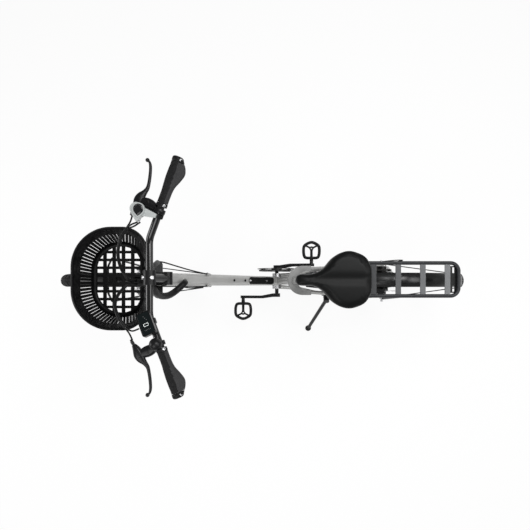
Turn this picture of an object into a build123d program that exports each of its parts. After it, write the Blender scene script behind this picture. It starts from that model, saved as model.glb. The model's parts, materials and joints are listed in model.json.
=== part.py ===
from build123d import *
import os
from math import asin, atan2, cos, degrees, hypot, pi, radians, sin, sqrt, tan

# Step-through electric bicycle, parked on its side stand. All lengths are millimetres, angles degrees.
# It is modelled upright: X forward from the bottom bracket, Y to the rider's left, Z up from the road.
# At the end every piece leans onto the stand, and the origin moves to the middle of the base.

# Layout of the whole bicycle
wheelbase = 1124.0
tyre_to_bracket = 151.0
bb_drop = 50.0
head_angle = 71.0
seat_angle = 72.0
lean_angle = 7.0

# Clearances: a running fit on a shaft, a gap between fixed pieces, a gap between moving ones
running_gap = 0.08
seat_gap = 0.25
moving_gap = 0.6

# Wheels
tyre_outer_r = 335.0
tyre_section_r = 27.0
tyre_height = 49.0
rim_depth = 23.0
rim_width = 30.0
rim_spine_width = 14.0
rim_shoulder = 9.0
spoke_count = 36
spoke_r = 1.0
spoke_rim_offset = 3.0
spoke_stagger = 1.4
flange_width = 4.0
disc_r = 80.0
disc_width = 2.0
disc_ring = 15.0
disc_arm_count = 6

# Front hub
front_axle_r = 5.0
front_dropout_span = 100.0
front_hub_body_r = 14.0
front_flange_r = 21.0
front_flange_y = 27.0
front_hub_half = 43.0
front_disc_y = 37.0
front_lug_width = 7.0
front_cross_angle = 60.0

# Rear hub motor
rear_axle_r = 6.0
rear_dropout_span = 135.0
rear_axle_end = 96.0
motor_r = 68.0
motor_half = 26.0
rear_flange_r = 74.0
rear_flange_y = 22.0
rear_disc_y = 46.0
rear_cross_angle = 20.0

# Drive
chain_pitch = 12.7
chain_line = 50.0
chainring_teeth = 40
sprocket_teeth = (28, 24, 22, 20, 18, 16, 14)
sprocket_spacing = 5.0
driven_sprocket = 3
tooth_width = 1.7
tooth_height = 4.2
chain_plate_gap = 3.0
chain_plate_width = 1.5
chain_plate_half = 4.2
chain_waist_half = 2.9
pulley_teeth = 11
guide_pulley_drop = 72.0
guide_pulley_ahead = 6.0
tension_pulley_drop = 132.0
tension_pulley_ahead = 38.0
chain_guard_r = 92.0
chain_guard_inner_r = 64.0

# Cranks and pedals
bb_shell_r = 21.0
bb_shell_width = 73.0
spindle_r = 8.5
crank_length = 165.0
crank_tilt = 12.0
crank_inner_y = 58.0
crank_outer_y = 82.0
crank_thickness = 13.0
crank_boss_r = 16.0
crank_eye_r = 13.0
pedal_spindle_r = 5.0
pedal_length = 84.0
pedal_width = 86.0
pedal_height = 20.0
pedal_bar = 8.0
pedal_collar = 12.0

# Frame tubes
head_tube_r = 23.0
head_tube_length = 150.0
headset_height = 12.0
steerer_r = 14.3
main_tube_front = (64.0, 48.0)
main_tube_rear = (78.0, 40.0)
main_tube_corner = 15.0
main_tube_head_share = 0.42
seat_tube_r = 18.0
seat_tube_length = 395.0
seat_post_r = 14.0
yoke_above_bracket = 215.0
yoke_depth = 38.0
yoke_r = 62.0
yoke_inner_r = 40.0
yoke_arm = 36.0
yoke_front = 10.0
stay_r = 9.0
seat_stay_r = 6.5
dropout_width = 6.5
dropout_r = 22.0
dropout_reach = 52.0

# Fork
fork_offset = 45.0
crown_above_tyre = 70.0
fork_blade_r = 12.0
fork_blade_y = 56.0
fork_crown_height = 30.0

# Fittings on the frame and fork
caliper_place_r = 68.0
front_caliper_angle = 142.0
rear_caliper_angle = 72.0
caliper_size = (46.0, 34.0)
caliper_inner = 9.0
caliper_outer = 13.0
headlamp_r = 23.0
headlamp_length = 46.0
headlamp_foot = 26.0
boss_spacing = 64.0
boss_middle = 372.0
boss_r = 6.5
boss_height = 1.5
boss_bore_r = 2.5
boss_depth = 12.0
cover_start = 432.0
cover_length = 156.0
cover_width = 31.0
cover_height = 5.0
port_along = 205.0
loom_port_along = 84.0
port_r = 6.0

# Cables
cable_r = 2.5
bundle_r = 5.0
sleeve_r = 9.0
loom_r = 12.0

# Cockpit
bar_r = 11.1
stem_post_length = 92.0
stem_reach = 29.0
stem_rise = 114.0
bar_bend_y = 115.0
grip_inner_offset = (-39.0, 200.0, 28.0)
grip_outer_offset = (-96.0, 350.0, 42.5)
bar_bend_r = 55.0
stem_post_r = 17.0
grip_start = 7.0
lever_drop = 0.22
display_along = 78.0

# Saddle and rack
saddle_rise = 231.0
saddle_nose_ahead = 122.0
saddle_length = 262.0
saddle_width = 194.0
saddle_depth = 58.0
rack_above_tyre = 90.0
rack_tube_r = 7.0
rack_half_width = 61.0
rack_front_ahead = 168.0
rack_rear_behind = 175.0
rack_corner_r = 30.0
slat_first_ahead = 140.0
slat_pitch = 91.0
slat_count = 4
slat_width = 20.0
slat_thickness = 4.0

# Mudguards
guard_gap = 12.0
guard_thickness = 2.5
guard_width = 56.0
guard_crown_r = 46.0

# Basket
basket_above_tyre = 75.0
basket_depth = 190.0
basket_rim_ahead = 60.0
basket_rim_length = 246.0
basket_rim_width = 326.0
basket_rim_corners = (125.0, 75.0)
basket_floor_ahead = 59.0
basket_floor_length = 189.0
basket_floor_width = 270.0
basket_floor_corners = (80.0, 62.0)
basket_wall = 4.0
basket_lip = 5.0
basket_lip_height = 12.0
basket_slot_pairs = 36
basket_slot_width = 2.6
basket_slot_spacing = 11.0
basket_slot_reach = 60.0
basket_slot_low = 18.0
basket_slot_high = 124.0
basket_hole = (21.0, 19.0)
basket_hole_pitch = (34.6, 29.3)
basket_hole_margin = 12.0
bracket_along = 34.0
bracket_height = 24.0
bracket_width = 44.0

# Side stand
stand_pivot_ahead = 251.0
stand_pivot_y = 88.0
stand_pivot_above_bracket = 7.0
stand_foot_y = 247.0
stand_foot_ahead = 62.0
stand_leg_r = 8.5
stand_foot_r = 15.0

BASE = (Align.CENTER, Align.CENTER, Align.MIN)


# Shared shapes and places
def rod(start, end, radius):
    """A round bar from one point to another."""
    start, end = Vector(start), Vector(end)
    return Plane(origin=start, z_dir=end - start) * Cylinder(radius, (end - start).length, align=BASE)


def bent_tube(points, bend_radius, radius):
    """A round bar along straight runs joined by arcs."""
    path = FilletPolyline(*points, radius=bend_radius)
    return sweep(Plane(origin=path @ 0, z_dir=path % 0) * Circle(radius), path=path)


def lathe(points):
    """Turns an outline of (radius, sideways) points about the Y axis."""
    return revolve(make_face(Polyline(*points, close=True)), Axis.Y)


def across(radius, low_y, high_y):
    """A disc on the Y axis between two sideways places."""
    return Pos(0, low_y, 0) * Rot(-90, 0, 0) * Cylinder(radius, high_y - low_y, align=BASE)


def side_plate(outline, low_y, high_y):
    """Extrudes a sketch of (forward, up) points sideways."""
    return extrude(Plane(origin=(0, low_y, 0), x_dir=(1, 0, 0), z_dir=(0, -1, 0)) * outline, -(high_y - low_y))


def mirrored(piece):
    """The same piece on the other side of the bicycle."""
    return mirror(piece, about=Plane.XZ)


def together(*pieces):
    """Pieces that don't touch, as separate solids of one node."""
    return Compound([solid for piece in pieces for solid in piece.solids()])


def pair(piece):
    """A left piece and its right-hand mirror image, as two solids of one node."""
    return together(piece, mirrored(piece))


rim_outer_r = tyre_outer_r - tyre_height
rim_inner_r = rim_outer_r - rim_depth
bb_height = tyre_outer_r - bb_drop
chainstay_run = tyre_outer_r + tyre_to_bracket
fork_length = tyre_outer_r + crown_above_tyre
yoke_height = bb_height + yoke_above_bracket
bb = Vector(0, 0, bb_height)
rear_axle = Vector(-chainstay_run, 0, tyre_outer_r)
front_axle = Vector(wheelbase - chainstay_run, 0, tyre_outer_r)
steer_up = Vector(-cos(radians(head_angle)), 0, sin(radians(head_angle)))
steer_ahead = Vector(sin(radians(head_angle)), 0, cos(radians(head_angle)))
crown_race = front_axle - steer_ahead * fork_offset + steer_up * fork_length
steering = Plane(origin=crown_race, x_dir=steer_ahead, z_dir=steer_up)
seat_up = Vector(-cos(radians(seat_angle)), 0, sin(radians(seat_angle)))
seat_ahead = Vector(sin(radians(seat_angle)), 0, cos(radians(seat_angle)))
seat_line = Plane(origin=bb, x_dir=seat_ahead, z_dir=seat_up)
at_rear = Pos(*rear_axle)
at_front = Pos(*front_axle)
at_bb = Pos(*bb)
dropout_inner_y = rear_dropout_span / 2
front_axle_end = front_dropout_span / 2 + front_lug_width + 10
dropout_mid_y = dropout_inner_y + dropout_width / 2


def seat_x(z):
    """Where the seat tube's axis is at a height."""
    return -(z - bb_height) / tan(radians(seat_angle))


def steer_point(along, ahead=0.0, left=0.0):
    """A point in the fork's own frame, whose zero is the crown race."""
    return crown_race + steer_up * along + steer_ahead * ahead + Vector(0, left, 0)


steer_top = headset_height * 2 + head_tube_length + 8
stem_pivot = steer_point(steer_top + stem_post_length + 4)
bar_middle = stem_pivot + Vector(stem_reach, 0, stem_rise)
bar_bend = bar_middle + Vector(0, bar_bend_y, 0)
grip_inner = bar_middle + Vector(grip_inner_offset)
grip_outer = bar_middle + Vector(grip_outer_offset)
saddle_top_z = bb_height + seat_tube_length * sin(radians(seat_angle)) + saddle_rise
saddle_base_z = saddle_top_z - saddle_depth
saddle_clamp_z = saddle_base_z - 22
saddle_nose_x = seat_x(saddle_clamp_z) + saddle_nose_ahead
rack_z = 2 * tyre_outer_r + rack_above_tyre
rack_front_x = rear_axle.X + rack_front_ahead
rack_rear_x = rear_axle.X - rack_rear_behind
slat_first_x = rear_axle.X + slat_first_ahead
basket_floor_z = 2 * tyre_outer_r + basket_above_tyre
basket_rim_z = basket_floor_z + basket_depth
basket_rim_front_x = front_axle.X + basket_rim_ahead
basket_rim_rear_x = basket_rim_front_x - basket_rim_length
basket_floor_front_x = front_axle.X + basket_floor_ahead
basket_floor_rear_x = basket_floor_front_x - basket_floor_length


# Wheels: tyre, rim, hub with its spokes, brake disc
def tyre():
    section = Pos(tyre_outer_r - tyre_section_r, 0) * Circle(tyre_section_r)
    bead = Rectangle(rim_outer_r + seat_gap, 4 * tyre_section_r, align=(Align.MIN, Align.CENTER))
    return revolve(section - bead, Axis.Y)


def rim():
    half, spine = rim_width / 2, rim_spine_width / 2
    shoulder = rim_inner_r + rim_shoulder
    right = [(rim_inner_r, -spine), (shoulder, -half), (rim_outer_r, -half)]
    left = [(r, -y) for r, y in reversed(right)]
    return lathe(right + left)


def spokes(flange_r, flange_y, cross_angle):
    """Spokes that leave the flanges on a tangent, alternately leading and trailing."""
    made = []
    for i in range(spoke_count):
        side = 1 if i % 2 == 0 else -1
        lead = 1 if (i // 2) % 2 == 0 else -1
        rim_angle = radians(i * 360 / spoke_count)
        hub_angle = rim_angle - lead * radians(cross_angle)
        hub_r = flange_r - 2.5 * spoke_r
        end_r = rim_inner_r - seat_gap
        hub_end = (hub_r * cos(hub_angle), side * flange_y + lead * spoke_stagger, hub_r * sin(hub_angle))
        rim_y = side * spoke_rim_offset + lead * spoke_stagger
        rim_end = (end_r * cos(rim_angle), rim_y, end_r * sin(rim_angle))
        made.append(rod(hub_end, rim_end, spoke_r))
    return made


def front_hub():
    bore, half, flange = front_axle_r + running_gap, front_hub_half, flange_width / 2
    inner, outer = front_flange_y - flange, front_flange_y + flange
    right = [
        (bore, -half),
        (front_hub_body_r - 3, -half),
        (front_hub_body_r, -outer),
        (front_flange_r, -outer),
        (front_flange_r, -inner),
        (front_hub_body_r, -inner),
    ]
    left = [(r, -y) for r, y in reversed(right)]
    return lathe(right + left).fuse(*spokes(front_flange_r, front_flange_y, front_cross_angle))


def rear_hub():
    bore, flange, cover = rear_axle_r + running_gap, flange_width / 2, motor_half + 5
    inner, outer = rear_flange_y - flange, rear_flange_y + flange
    right = [
        (bore, -cover),
        (motor_r * 0.42, -cover),
        (motor_r * 0.86, -motor_half),
        (motor_r, -outer),
        (rear_flange_r, -outer),
        (rear_flange_r, -inner),
        (motor_r, -inner),
    ]
    left = [(r, -y) for r, y in reversed(right)]
    return lathe(right + left).fuse(*spokes(rear_flange_r, rear_flange_y, rear_cross_angle))


def brake_disc(centre_y, inner_r):
    """A disc with a braking ring carried on slanted arms."""
    plate = across(disc_r, centre_y - disc_width / 2, centre_y + disc_width / 2)
    hub_r = inner_r + 8
    window_r = (disc_r - disc_ring - hub_r) / 2
    window_place = hub_r + window_r
    for i in range(disc_arm_count):
        angle = radians((i + 0.5) * 360 / disc_arm_count)
        place = Pos(window_place * cos(angle), 0, window_place * sin(angle))
        plate -= place * across(window_r, centre_y - disc_width, centre_y + disc_width)
    return plate - across(inner_r, centre_y - disc_width, centre_y + disc_width)


def wheels():
    front_disc_bore = front_hub_body_r + seat_gap
    front_disc_seat = across(front_hub_body_r, front_flange_y, front_disc_y + disc_width)
    front_disc_seat -= across(front_axle_r + running_gap, 0, 2 * front_hub_half)
    rear_disc_bore = motor_r * 0.42 + seat_gap
    rear_disc_seat = across(rear_disc_bore - seat_gap, motor_half + 5, rear_disc_y + disc_width) - across(
        rear_axle_r + running_gap, motor_half, rear_disc_y + 2 * disc_width
    )
    return {
        "front_tyre": at_front * tyre(),
        "front_rim": at_front * rim(),
        "front_hub": at_front * (front_hub() + front_disc_seat),
        "front_brake_disc": at_front * brake_disc(front_disc_y, front_disc_bore),
        "rear_tyre": at_rear * tyre(),
        "rear_rim": at_rear * rim(),
        "rear_hub_motor": at_rear * (rear_hub() + rear_disc_seat),
        "rear_brake_disc": at_rear * brake_disc(rear_disc_y, rear_disc_bore),
    }


# Axles, which stay with the fork and the frame
def axles():
    front_nut, rear_nut = front_axle_r + 4.5, rear_axle_r + 4.5
    front_face = front_dropout_span / 2
    front = across(front_axle_r, -front_axle_end, front_axle_end)
    rear = across(rear_axle_r, -rear_axle_end, rear_axle_end)
    for side in (-1, 1):
        inner = sorted((side * (front_hub_half + moving_gap), side * (front_face - seat_gap)))
        front += across(front_nut, *inner) - across(front_axle_r - 0.5, *inner)
        lug_face = front_face + front_lug_width
        outer = sorted((side * (lug_face + seat_gap), side * (lug_face + 7)))
        front += across(front_nut, *outer) - across(front_axle_r - 0.5, *outer)
        seat = dropout_inner_y + dropout_width
        nut = sorted((side * (seat + seat_gap), side * (seat + 9)))
        rear += across(rear_nut, *nut) - across(rear_axle_r - 0.5, *nut)
    left_spacer = (rear_disc_y + disc_width + moving_gap, dropout_inner_y - seat_gap)
    rear += across(rear_nut, *left_spacer) - across(rear_axle_r - 0.5, *left_spacer)
    return {"front_axle": at_front * front, "rear_axle": at_rear * rear}


# Sprockets, chainring and chain
def pitch_radius(teeth):
    return chain_pitch / (2 * sin(pi / teeth))


def toothed_outline(teeth):
    """A closed outline with one blunt tooth for each chain link."""
    tip, root = pitch_radius(teeth) + tooth_height, pitch_radius(teeth) - tooth_height
    step = 2 * pi / teeth
    corners = [(-0.34, root), (-0.12, tip), (0.12, tip), (0.34, root)]
    points = [
        (r * cos((i + share) * step), r * sin((i + share) * step)) for i in range(teeth) for share, r in corners
    ]
    return make_face(Polyline(*points, close=True))


def sprocket(teeth, centre_y):
    return side_plate(toothed_outline(teeth), centre_y - tooth_width / 2, centre_y + tooth_width / 2)


def sprocket_y(index):
    return -chain_line + (driven_sprocket - index) * sprocket_spacing


def freewheel():
    """The stack of sprockets on its body, which turns with the rear wheel."""
    body_r = pitch_radius(sprocket_teeth[-1]) - tooth_height - 3
    last = len(sprocket_teeth) - 1
    stack = across(body_r, sprocket_y(last) - tooth_width / 2, -motor_half - 5 - seat_gap)
    for index, teeth in enumerate(sprocket_teeth):
        stack += sprocket(teeth, sprocket_y(index))
    return at_rear * (stack - across(rear_axle_r + running_gap, -dropout_inner_y, 0))


guide_pulley = rear_axle + Vector(guide_pulley_ahead, 0, -guide_pulley_drop)
tension_pulley = rear_axle + Vector(tension_pulley_ahead, 0, -tension_pulley_drop)


def chain_circles():
    """Centre x, centre z, pitch radius and turning sense of everything that the chain runs round."""
    return [
        (bb.X, bb.Z, pitch_radius(chainring_teeth), 1),
        (rear_axle.X, rear_axle.Z, pitch_radius(sprocket_teeth[driven_sprocket]), 1),
        (guide_pulley.X, guide_pulley.Z, pitch_radius(pulley_teeth), -1),
        (tension_pulley.X, tension_pulley.Z, pitch_radius(pulley_teeth), 1),
    ]


def chain_path():
    """The pitch line as runs in order: a length and a rule that gives x, z and heading at a distance."""
    circles = chain_circles()
    count = len(circles)
    leaving, arriving = {}, {}
    for i in range(count):
        x1, z1, r1, s1 = circles[i]
        x2, z2, r2, s2 = circles[(i + 1) % count]
        run = hypot(x2 - x1, z2 - z1)
        heading = atan2(z2 - z1, x2 - x1) - asin((s2 * r2 - s1 * r1) / run)
        leaving[i] = heading
        arriving[(i + 1) % count] = heading
    runs = []
    for i in range(count):
        x, z, r, sense = circles[i]
        turn = (leaving[i] - arriving[i]) * sense % (2 * pi)
        runs.append((r * turn, "arc", x, z, r, sense, arriving[i]))
        x2, z2, r2, s2 = circles[(i + 1) % count]
        start = (x + sense * r * sin(leaving[i]), z - sense * r * cos(leaving[i]))
        end = (x2 + s2 * r2 * sin(leaving[i]), z2 - s2 * r2 * cos(leaving[i]))
        runs.append((hypot(end[0] - start[0], end[1] - start[1]), "line", *start, 0, 0, leaving[i]))
    return runs


def chain_station(runs, distance):
    """Position and heading on the chain's pitch line."""
    for length, kind, x, z, r, sense, heading in runs:
        if distance <= length:
            break
        distance -= length
    if kind == "line":
        return x + distance * cos(heading), z + distance * sin(heading), heading
    heading += sense * distance / r
    return x + sense * r * sin(heading), z - sense * r * cos(heading), heading


def chain():
    """Two rows of waisted link plates, one each side of the teeth."""
    runs = chain_path()
    total = sum(run[0] for run in runs)
    stations = 2 * round(total / chain_pitch)
    outer, inner = [], []
    for i in range(stations):
        x, z, heading = chain_station(runs, total * i / stations)
        half = chain_plate_half if i % 2 == 0 else chain_waist_half
        outer.append((x + half * sin(heading), z - half * cos(heading)))
        inner.append((x - half * sin(heading), z + half * cos(heading)))
    band = make_face(Polyline(*outer, close=True)) - make_face(Polyline(*inner, close=True))
    near, far = chain_plate_gap / 2, chain_plate_gap / 2 + chain_plate_width
    rows = [side_plate(band, -chain_line + near, -chain_line + far)]
    rows.append(side_plate(band, -chain_line - far, -chain_line - near))
    return together(*rows)


def chainring():
    """The toothed ring, its spider and the guard ring outside the chain, with a bore for the spindle."""
    root = pitch_radius(chainring_teeth) - tooth_height
    ring = sprocket(chainring_teeth, -chain_line) - across(root - 14, -chain_line - 5, -chain_line + 5)
    spider = across(26, -crank_inner_y + seat_gap, -chain_line + 3)
    for i in range(5):
        arm = Pos(root / 2, -chain_line, 0) * Box(root - 4, 6, 16)
        stud = Pos(root - 8, 0, 0) * across(3.5, -chain_line - 8, -chain_line)
        spider += Rot(0, i * 72, 0) * (arm + stud)
    guard_faces = (-chain_line - 9, -chain_line - 6.8)
    spider += across(chain_guard_r, *guard_faces) - across(chain_guard_inner_r, *guard_faces)
    return at_bb * (ring + spider - across(spindle_r + seat_gap, -crank_inner_y - 1, -chain_line + 6))


def derailleur():
    """Cage plates with two jockey wheels, hung from the right dropout by a link body."""
    pulley_r = pitch_radius(pulley_teeth) - tooth_height
    outer_y = -chain_line - chain_plate_gap / 2 - chain_plate_width - 1
    inner_y = -chain_line + chain_plate_gap / 2 + chain_plate_width + 1
    pieces = None
    for low_y in (outer_y - 2, inner_y):
        eyes = Pos(guide_pulley.X, guide_pulley.Z) * Circle(15)
        eyes += Pos(tension_pulley.X, tension_pulley.Z) * Circle(13)
        plate = side_plate(make_hull(eyes.edges()), low_y, low_y + 2)
        pieces = plate if pieces is None else pieces + plate
    for place in (guide_pulley, tension_pulley):
        wheel = across(pulley_r, -chain_line - tooth_width / 2, -chain_line + tooth_width / 2)
        pieces += Pos(place.X, 0, place.Z) * wheel
        pieces += Pos(place.X, 0, place.Z) * across(5, outer_y - 2, inner_y + 2)
    hanger = rear_axle + Vector(4, -dropout_mid_y, -dropout_r - 6)
    knuckle = Vector(guide_pulley.X, outer_y - 12, guide_pulley.Z)
    pieces += rod(knuckle, knuckle + Vector(0, 11, 0), 13)
    pieces += rod(knuckle + Vector(0, 1, 0), Vector(hanger.X, -dropout_mid_y - 12, hanger.Z), 9)
    dropout_face = -dropout_inner_y - dropout_width
    pieces += Pos(hanger.X, 0, hanger.Z) * across(10, -dropout_mid_y - 22, dropout_face - seat_gap)
    return pieces


def drive():
    return {"freewheel": freewheel(), "chainring": chainring(), "chain": chain(), "derailleur": derailleur()}


# Cranks and pedals: both cranks share one axis, the left one points forward
def crank_arm(length):
    """A left-hand arm along +X whose far end stands further out than its boss."""
    half = crank_thickness / 2
    plan = make_face(
        Polyline(
            (-crank_boss_r, crank_inner_y),
            (crank_boss_r, crank_inner_y),
            (length * 0.45, crank_outer_y - 2 * half),
            (length + crank_eye_r, crank_outer_y - 2 * half),
            (length + crank_eye_r, crank_outer_y),
            (length * 0.4, crank_outer_y),
            (crank_boss_r, crank_inner_y + 2.6 * half),
            (-crank_boss_r, crank_inner_y + 2.6 * half),
            close=True,
        )
    )
    circles = Circle(crank_boss_r) + Pos(length, 0) * Circle(crank_eye_r)
    outline = side_plate(make_hull(circles.edges()), crank_inner_y - 1, crank_outer_y + 1)
    return extrude(plan, 2 * crank_boss_r, both=True) & outline


def pedal_axle_point(side):
    """Where a pedal's axis crosses the crank's plane; side is 1 for left."""
    angle = radians(crank_tilt)
    return bb + Vector(cos(angle), 0, -sin(angle)) * crank_length * side


def cranks():
    """Left arm, and the right arm with the spindle that carries both."""
    boss_depth_y = crank_inner_y + 1.1 * crank_thickness
    arm = crank_arm(crank_length)
    spindle_tip = across(pedal_spindle_r, crank_outer_y - 1, crank_outer_y + pedal_collar + pedal_width * 0.5)
    collar = across(pedal_spindle_r + 3, crank_outer_y - 1, crank_outer_y + pedal_collar)
    arm += Pos(crank_length, 0, 0) * (spindle_tip + collar)
    spindle = across(spindle_r, -crank_inner_y - 2, boss_depth_y)
    left = at_bb * Rot(0, crank_tilt, 0) * (arm - across(spindle_r + seat_gap, 0, boss_depth_y + seat_gap))
    right = at_bb * Rot(0, 180 + crank_tilt, 0) * (mirrored(arm) + spindle)
    return {"crank_left": left, "crank_right": right}


def pedal():
    """A caged platform on a tube about the Y axis, starting at its inner end."""
    half, reach = pedal_length / 2, pedal_width
    right_side = [(half - 16, 0), (half, 14), (half, reach - 20)]
    left_side = [(-x, y) for x, y in reversed(right_side)]
    outline = [*right_side, (0, reach), *left_side]
    cage = make_face(Polyline(*outline, close=True))
    cage = fillet(cage.vertices(), 6)
    window = offset(cage, -pedal_bar)
    web = Pos(0, reach * 0.29) * Rectangle(12, reach * 0.58)
    for side in (-1, 1):
        tip = [(side * (half - 12), reach - 13), (side * (half - 4), reach - 20)]
        arm = [(0, reach * 0.44), (0, reach * 0.6), *tip]
        web += make_face(Polyline(*arm, close=True))
    flat = extrude(cage - window, pedal_height / 2, both=True)
    flat += extrude(web & cage, pedal_height * 0.34, both=True)
    barrel = across(pedal_spindle_r + 5, 1, reach * 0.56)
    bore = across(pedal_spindle_r + running_gap, -1, crank_outer_y + pedal_width)
    return flat + barrel - bore


def pedals():
    gap = crank_outer_y + pedal_collar + moving_gap
    left_place, right_place = pedal_axle_point(1), pedal_axle_point(-1)
    flat = Pos(0, gap, 0) * pedal()
    return {"pedal_left": Pos(*left_place) * flat, "pedal_right": Pos(*right_place) * mirrored(flat)}


# Frame
def head_tube_solid(radius):
    return steering * Pos(0, 0, headset_height) * Cylinder(radius, head_tube_length, align=BASE)


def seat_tube_solid(radius, low, high):
    return seat_line * Pos(0, 0, low) * Cylinder(radius, high - low, align=BASE)


def bb_shell_solid(radius):
    return at_bb * across(radius, -bb_shell_width / 2, bb_shell_width / 2)


main_tube_top = steer_point(headset_height + head_tube_length * main_tube_head_share)
main_tube_foot = bb + Vector(12, 0, 14)
main_tube_run = main_tube_foot - main_tube_top
main_tube_line = Plane(origin=main_tube_top, x_dir=(main_tube_run.Z, 0, -main_tube_run.X), z_dir=main_tube_run)


def tube_top(along):
    """A frame on the main tube's upper face: its X runs up the tube and its Z stands off it."""
    share = along / main_tube_run.length
    depth = main_tube_front[0] + (main_tube_rear[0] - main_tube_front[0]) * share
    place = main_tube_line.from_local_coords(Vector(depth / 2, 0, along))
    return Plane(origin=place, x_dir=main_tube_run * -1, z_dir=main_tube_line.x_dir)


def plain_main_tube():
    front = main_tube_line * Rectangle(*main_tube_front)
    rear = main_tube_line * Pos(0, 0, main_tube_run.length) * Rectangle(*main_tube_rear)
    tube = loft([front, rear], ruled=True)
    return fillet(tube.edges().sort_by(SortBy.LENGTH)[-4:], main_tube_corner)


def port_line(side):
    """Inner end and mouth of a cable port; side is 1 for left."""
    seat, edge = tube_top(port_along), main_tube_front[1] / 2
    inner, mouth = Vector(-10, side * (edge - 4), -8), Vector(14, side * (edge - 1), 3)
    return [seat.from_local_coords(inner), seat.from_local_coords(mouth)]


def cable_port(side):
    """A short sleeve on the tube's upper corner where a cable goes in."""
    return rod(*port_line(side), port_r)


def loom_port():
    """The mouth of the sleeve that takes the cable loom, facing along the loom's last run."""
    seat = tube_top(loom_port_along)
    mouth = seat.from_local_coords(Vector(6, 11, 9))
    return Plane(origin=mouth, z_dir=mouth - seat.from_local_coords(Vector(-6, 8, -4)))


def main_tube():
    """A tapered box tube from the head tube down to the bottom bracket, with bottle bosses and cable ports."""
    tube = plain_main_tube()
    for side in (-1, 1):
        tube += cable_port(side)
    tube += loom_port() * Pos(0, 0, -22) * Cylinder(loom_r + 2.5, 22, align=BASE)
    for side in (-1, 1):
        seat = tube_top(boss_middle + side * boss_spacing / 2)
        tube += seat * Pos(0, 0, boss_height - 4) * Cylinder(boss_r, 4, align=BASE)
        tube -= seat * Pos(0, 0, boss_height - boss_depth) * Cylinder(boss_bore_r, boss_depth + 1, align=BASE)
    tube -= head_tube_solid(head_tube_r)
    tube -= bb_shell_solid(bb_shell_r)
    tube -= seat_tube_solid(seat_tube_r, 0, seat_tube_length)
    return tube.solids().sort_by(SortBy.VOLUME)[-1]


def tube_cover():
    """The lid over the battery's lock and socket, on the tube's upper face."""
    seat = tube_top(cover_start + cover_length / 2)
    lid = extrude(seat * RectangleRounded(cover_length, cover_width, 9), cover_height)
    lid = fillet(lid.faces().sort_by(Axis(seat.origin, seat.z_dir))[-1].edges(), 2)
    skirt = extrude(seat * RectangleRounded(cover_length, cover_width, 9), -4)
    return lid + skirt - plain_main_tube()


def yoke():
    """A horseshoe that joins the seat tube to the two seat stays round the rear tyre."""
    centre_x = seat_x(yoke_height) - yoke_r + seat_tube_r + yoke_front
    reach = yoke_r + yoke_arm
    outer = Circle(yoke_r) + Pos(-yoke_arm / 2, 0) * Rectangle(yoke_arm, 2 * yoke_r)
    outer &= Pos(yoke_r - reach / 2, 0) * Rectangle(reach, 2 * yoke_r)
    inner = Pos(-yoke_arm / 2, 0) * Circle(yoke_inner_r)
    inner += Pos(-yoke_arm / 2 - reach / 2, 0) * Rectangle(reach, 2 * yoke_inner_r)
    shape = extrude(Pos(centre_x, 0, yoke_height - yoke_depth / 2) * (outer - inner), yoke_depth)
    return shape - seat_tube_solid(seat_tube_r, 0, seat_tube_length)


def dropout():
    """The left plate that holds the rear axle and both stays."""
    eyes = Circle(dropout_r) + Pos(dropout_reach, 0) * Circle(16) + Pos(0, 34) * Circle(12)
    hole = Circle(rear_axle_r + seat_gap)
    plate = make_hull(eyes.edges()) - hole
    return at_rear * side_plate(plate, dropout_inner_y, dropout_inner_y + dropout_width)


stay_end = rear_axle + Vector(dropout_reach - 6, dropout_mid_y, 0)


def seat_stay():
    arm_x = seat_x(yoke_height) - yoke_r + seat_tube_r + yoke_front - yoke_arm
    start = Vector(arm_x + 2 * seat_stay_r, (yoke_r + yoke_inner_r) / 2, yoke_height)
    return rod(start, stay_end + Vector(0, 0, 14), seat_stay_r) - yoke() - dropout()


def chainstay_points():
    knee = Vector(-180, 54, bb_height + 14)
    return [Vector(-8, 27, bb_height), Vector(-95, 33, bb_height + 4), knee, stay_end + Vector(0, 0, -4)]


def chainstay():
    return bent_tube(chainstay_points(), 70, stay_r) - dropout() - bb_shell_solid(bb_shell_r)


def frame():
    bore = at_bb * across(spindle_r + running_gap, -bb_shell_width, bb_shell_width)
    bracket = bb_shell_solid(bb_shell_r) - bore
    seat_tube = seat_tube_solid(seat_tube_r, 0, seat_tube_length) - bb_shell_solid(bb_shell_r)
    seat_tube -= seat_tube_solid(seat_post_r + seat_gap, 120, seat_tube_length + 1)
    cups = [steering * Pos(0, 0, low) * Cylinder(head_tube_r + 1.5, headset_height, align=BASE)
            for low in (0, headset_height + head_tube_length)]
    cups = [cup - steering * Cylinder(steerer_r + running_gap, 3 * head_tube_length) for cup in cups]
    return {
        "head_tube": head_tube_solid(head_tube_r) - head_tube_solid(steerer_r + moving_gap),
        "headset": together(*cups),
        "main_tube": main_tube(),
        "tube_cover": tube_cover(),
        "seat_tube": seat_tube,
        "bottom_bracket": bracket,
        "stay_yoke": yoke(),
        "seat_stays": pair(seat_stay()),
        "chainstays": pair(chainstay()),
        "dropouts": pair(dropout()),
    }


# Fork and steering
def fork_blade_points():
    local = [(0, -8), (2, -fork_length * 0.62), (fork_offset - 3, -fork_length + 7)]
    return [steer_point(z, x, fork_blade_y) for x, z in local]


def fork_blade():
    """The left blade, straight below the crown and curving forward to the axle."""
    face = front_dropout_span / 2
    blade = bent_tube(fork_blade_points(), 160, fork_blade_r)
    blade -= at_front * across(40, 0, face)
    blade += at_front * across(15, face, face + front_lug_width)
    nut_clear = at_front * across(front_axle_r + 5.5, face + front_lug_width, 2 * face)
    return blade - nut_clear - at_front * across(front_axle_r + seat_gap, 0, 2 * face)


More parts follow.
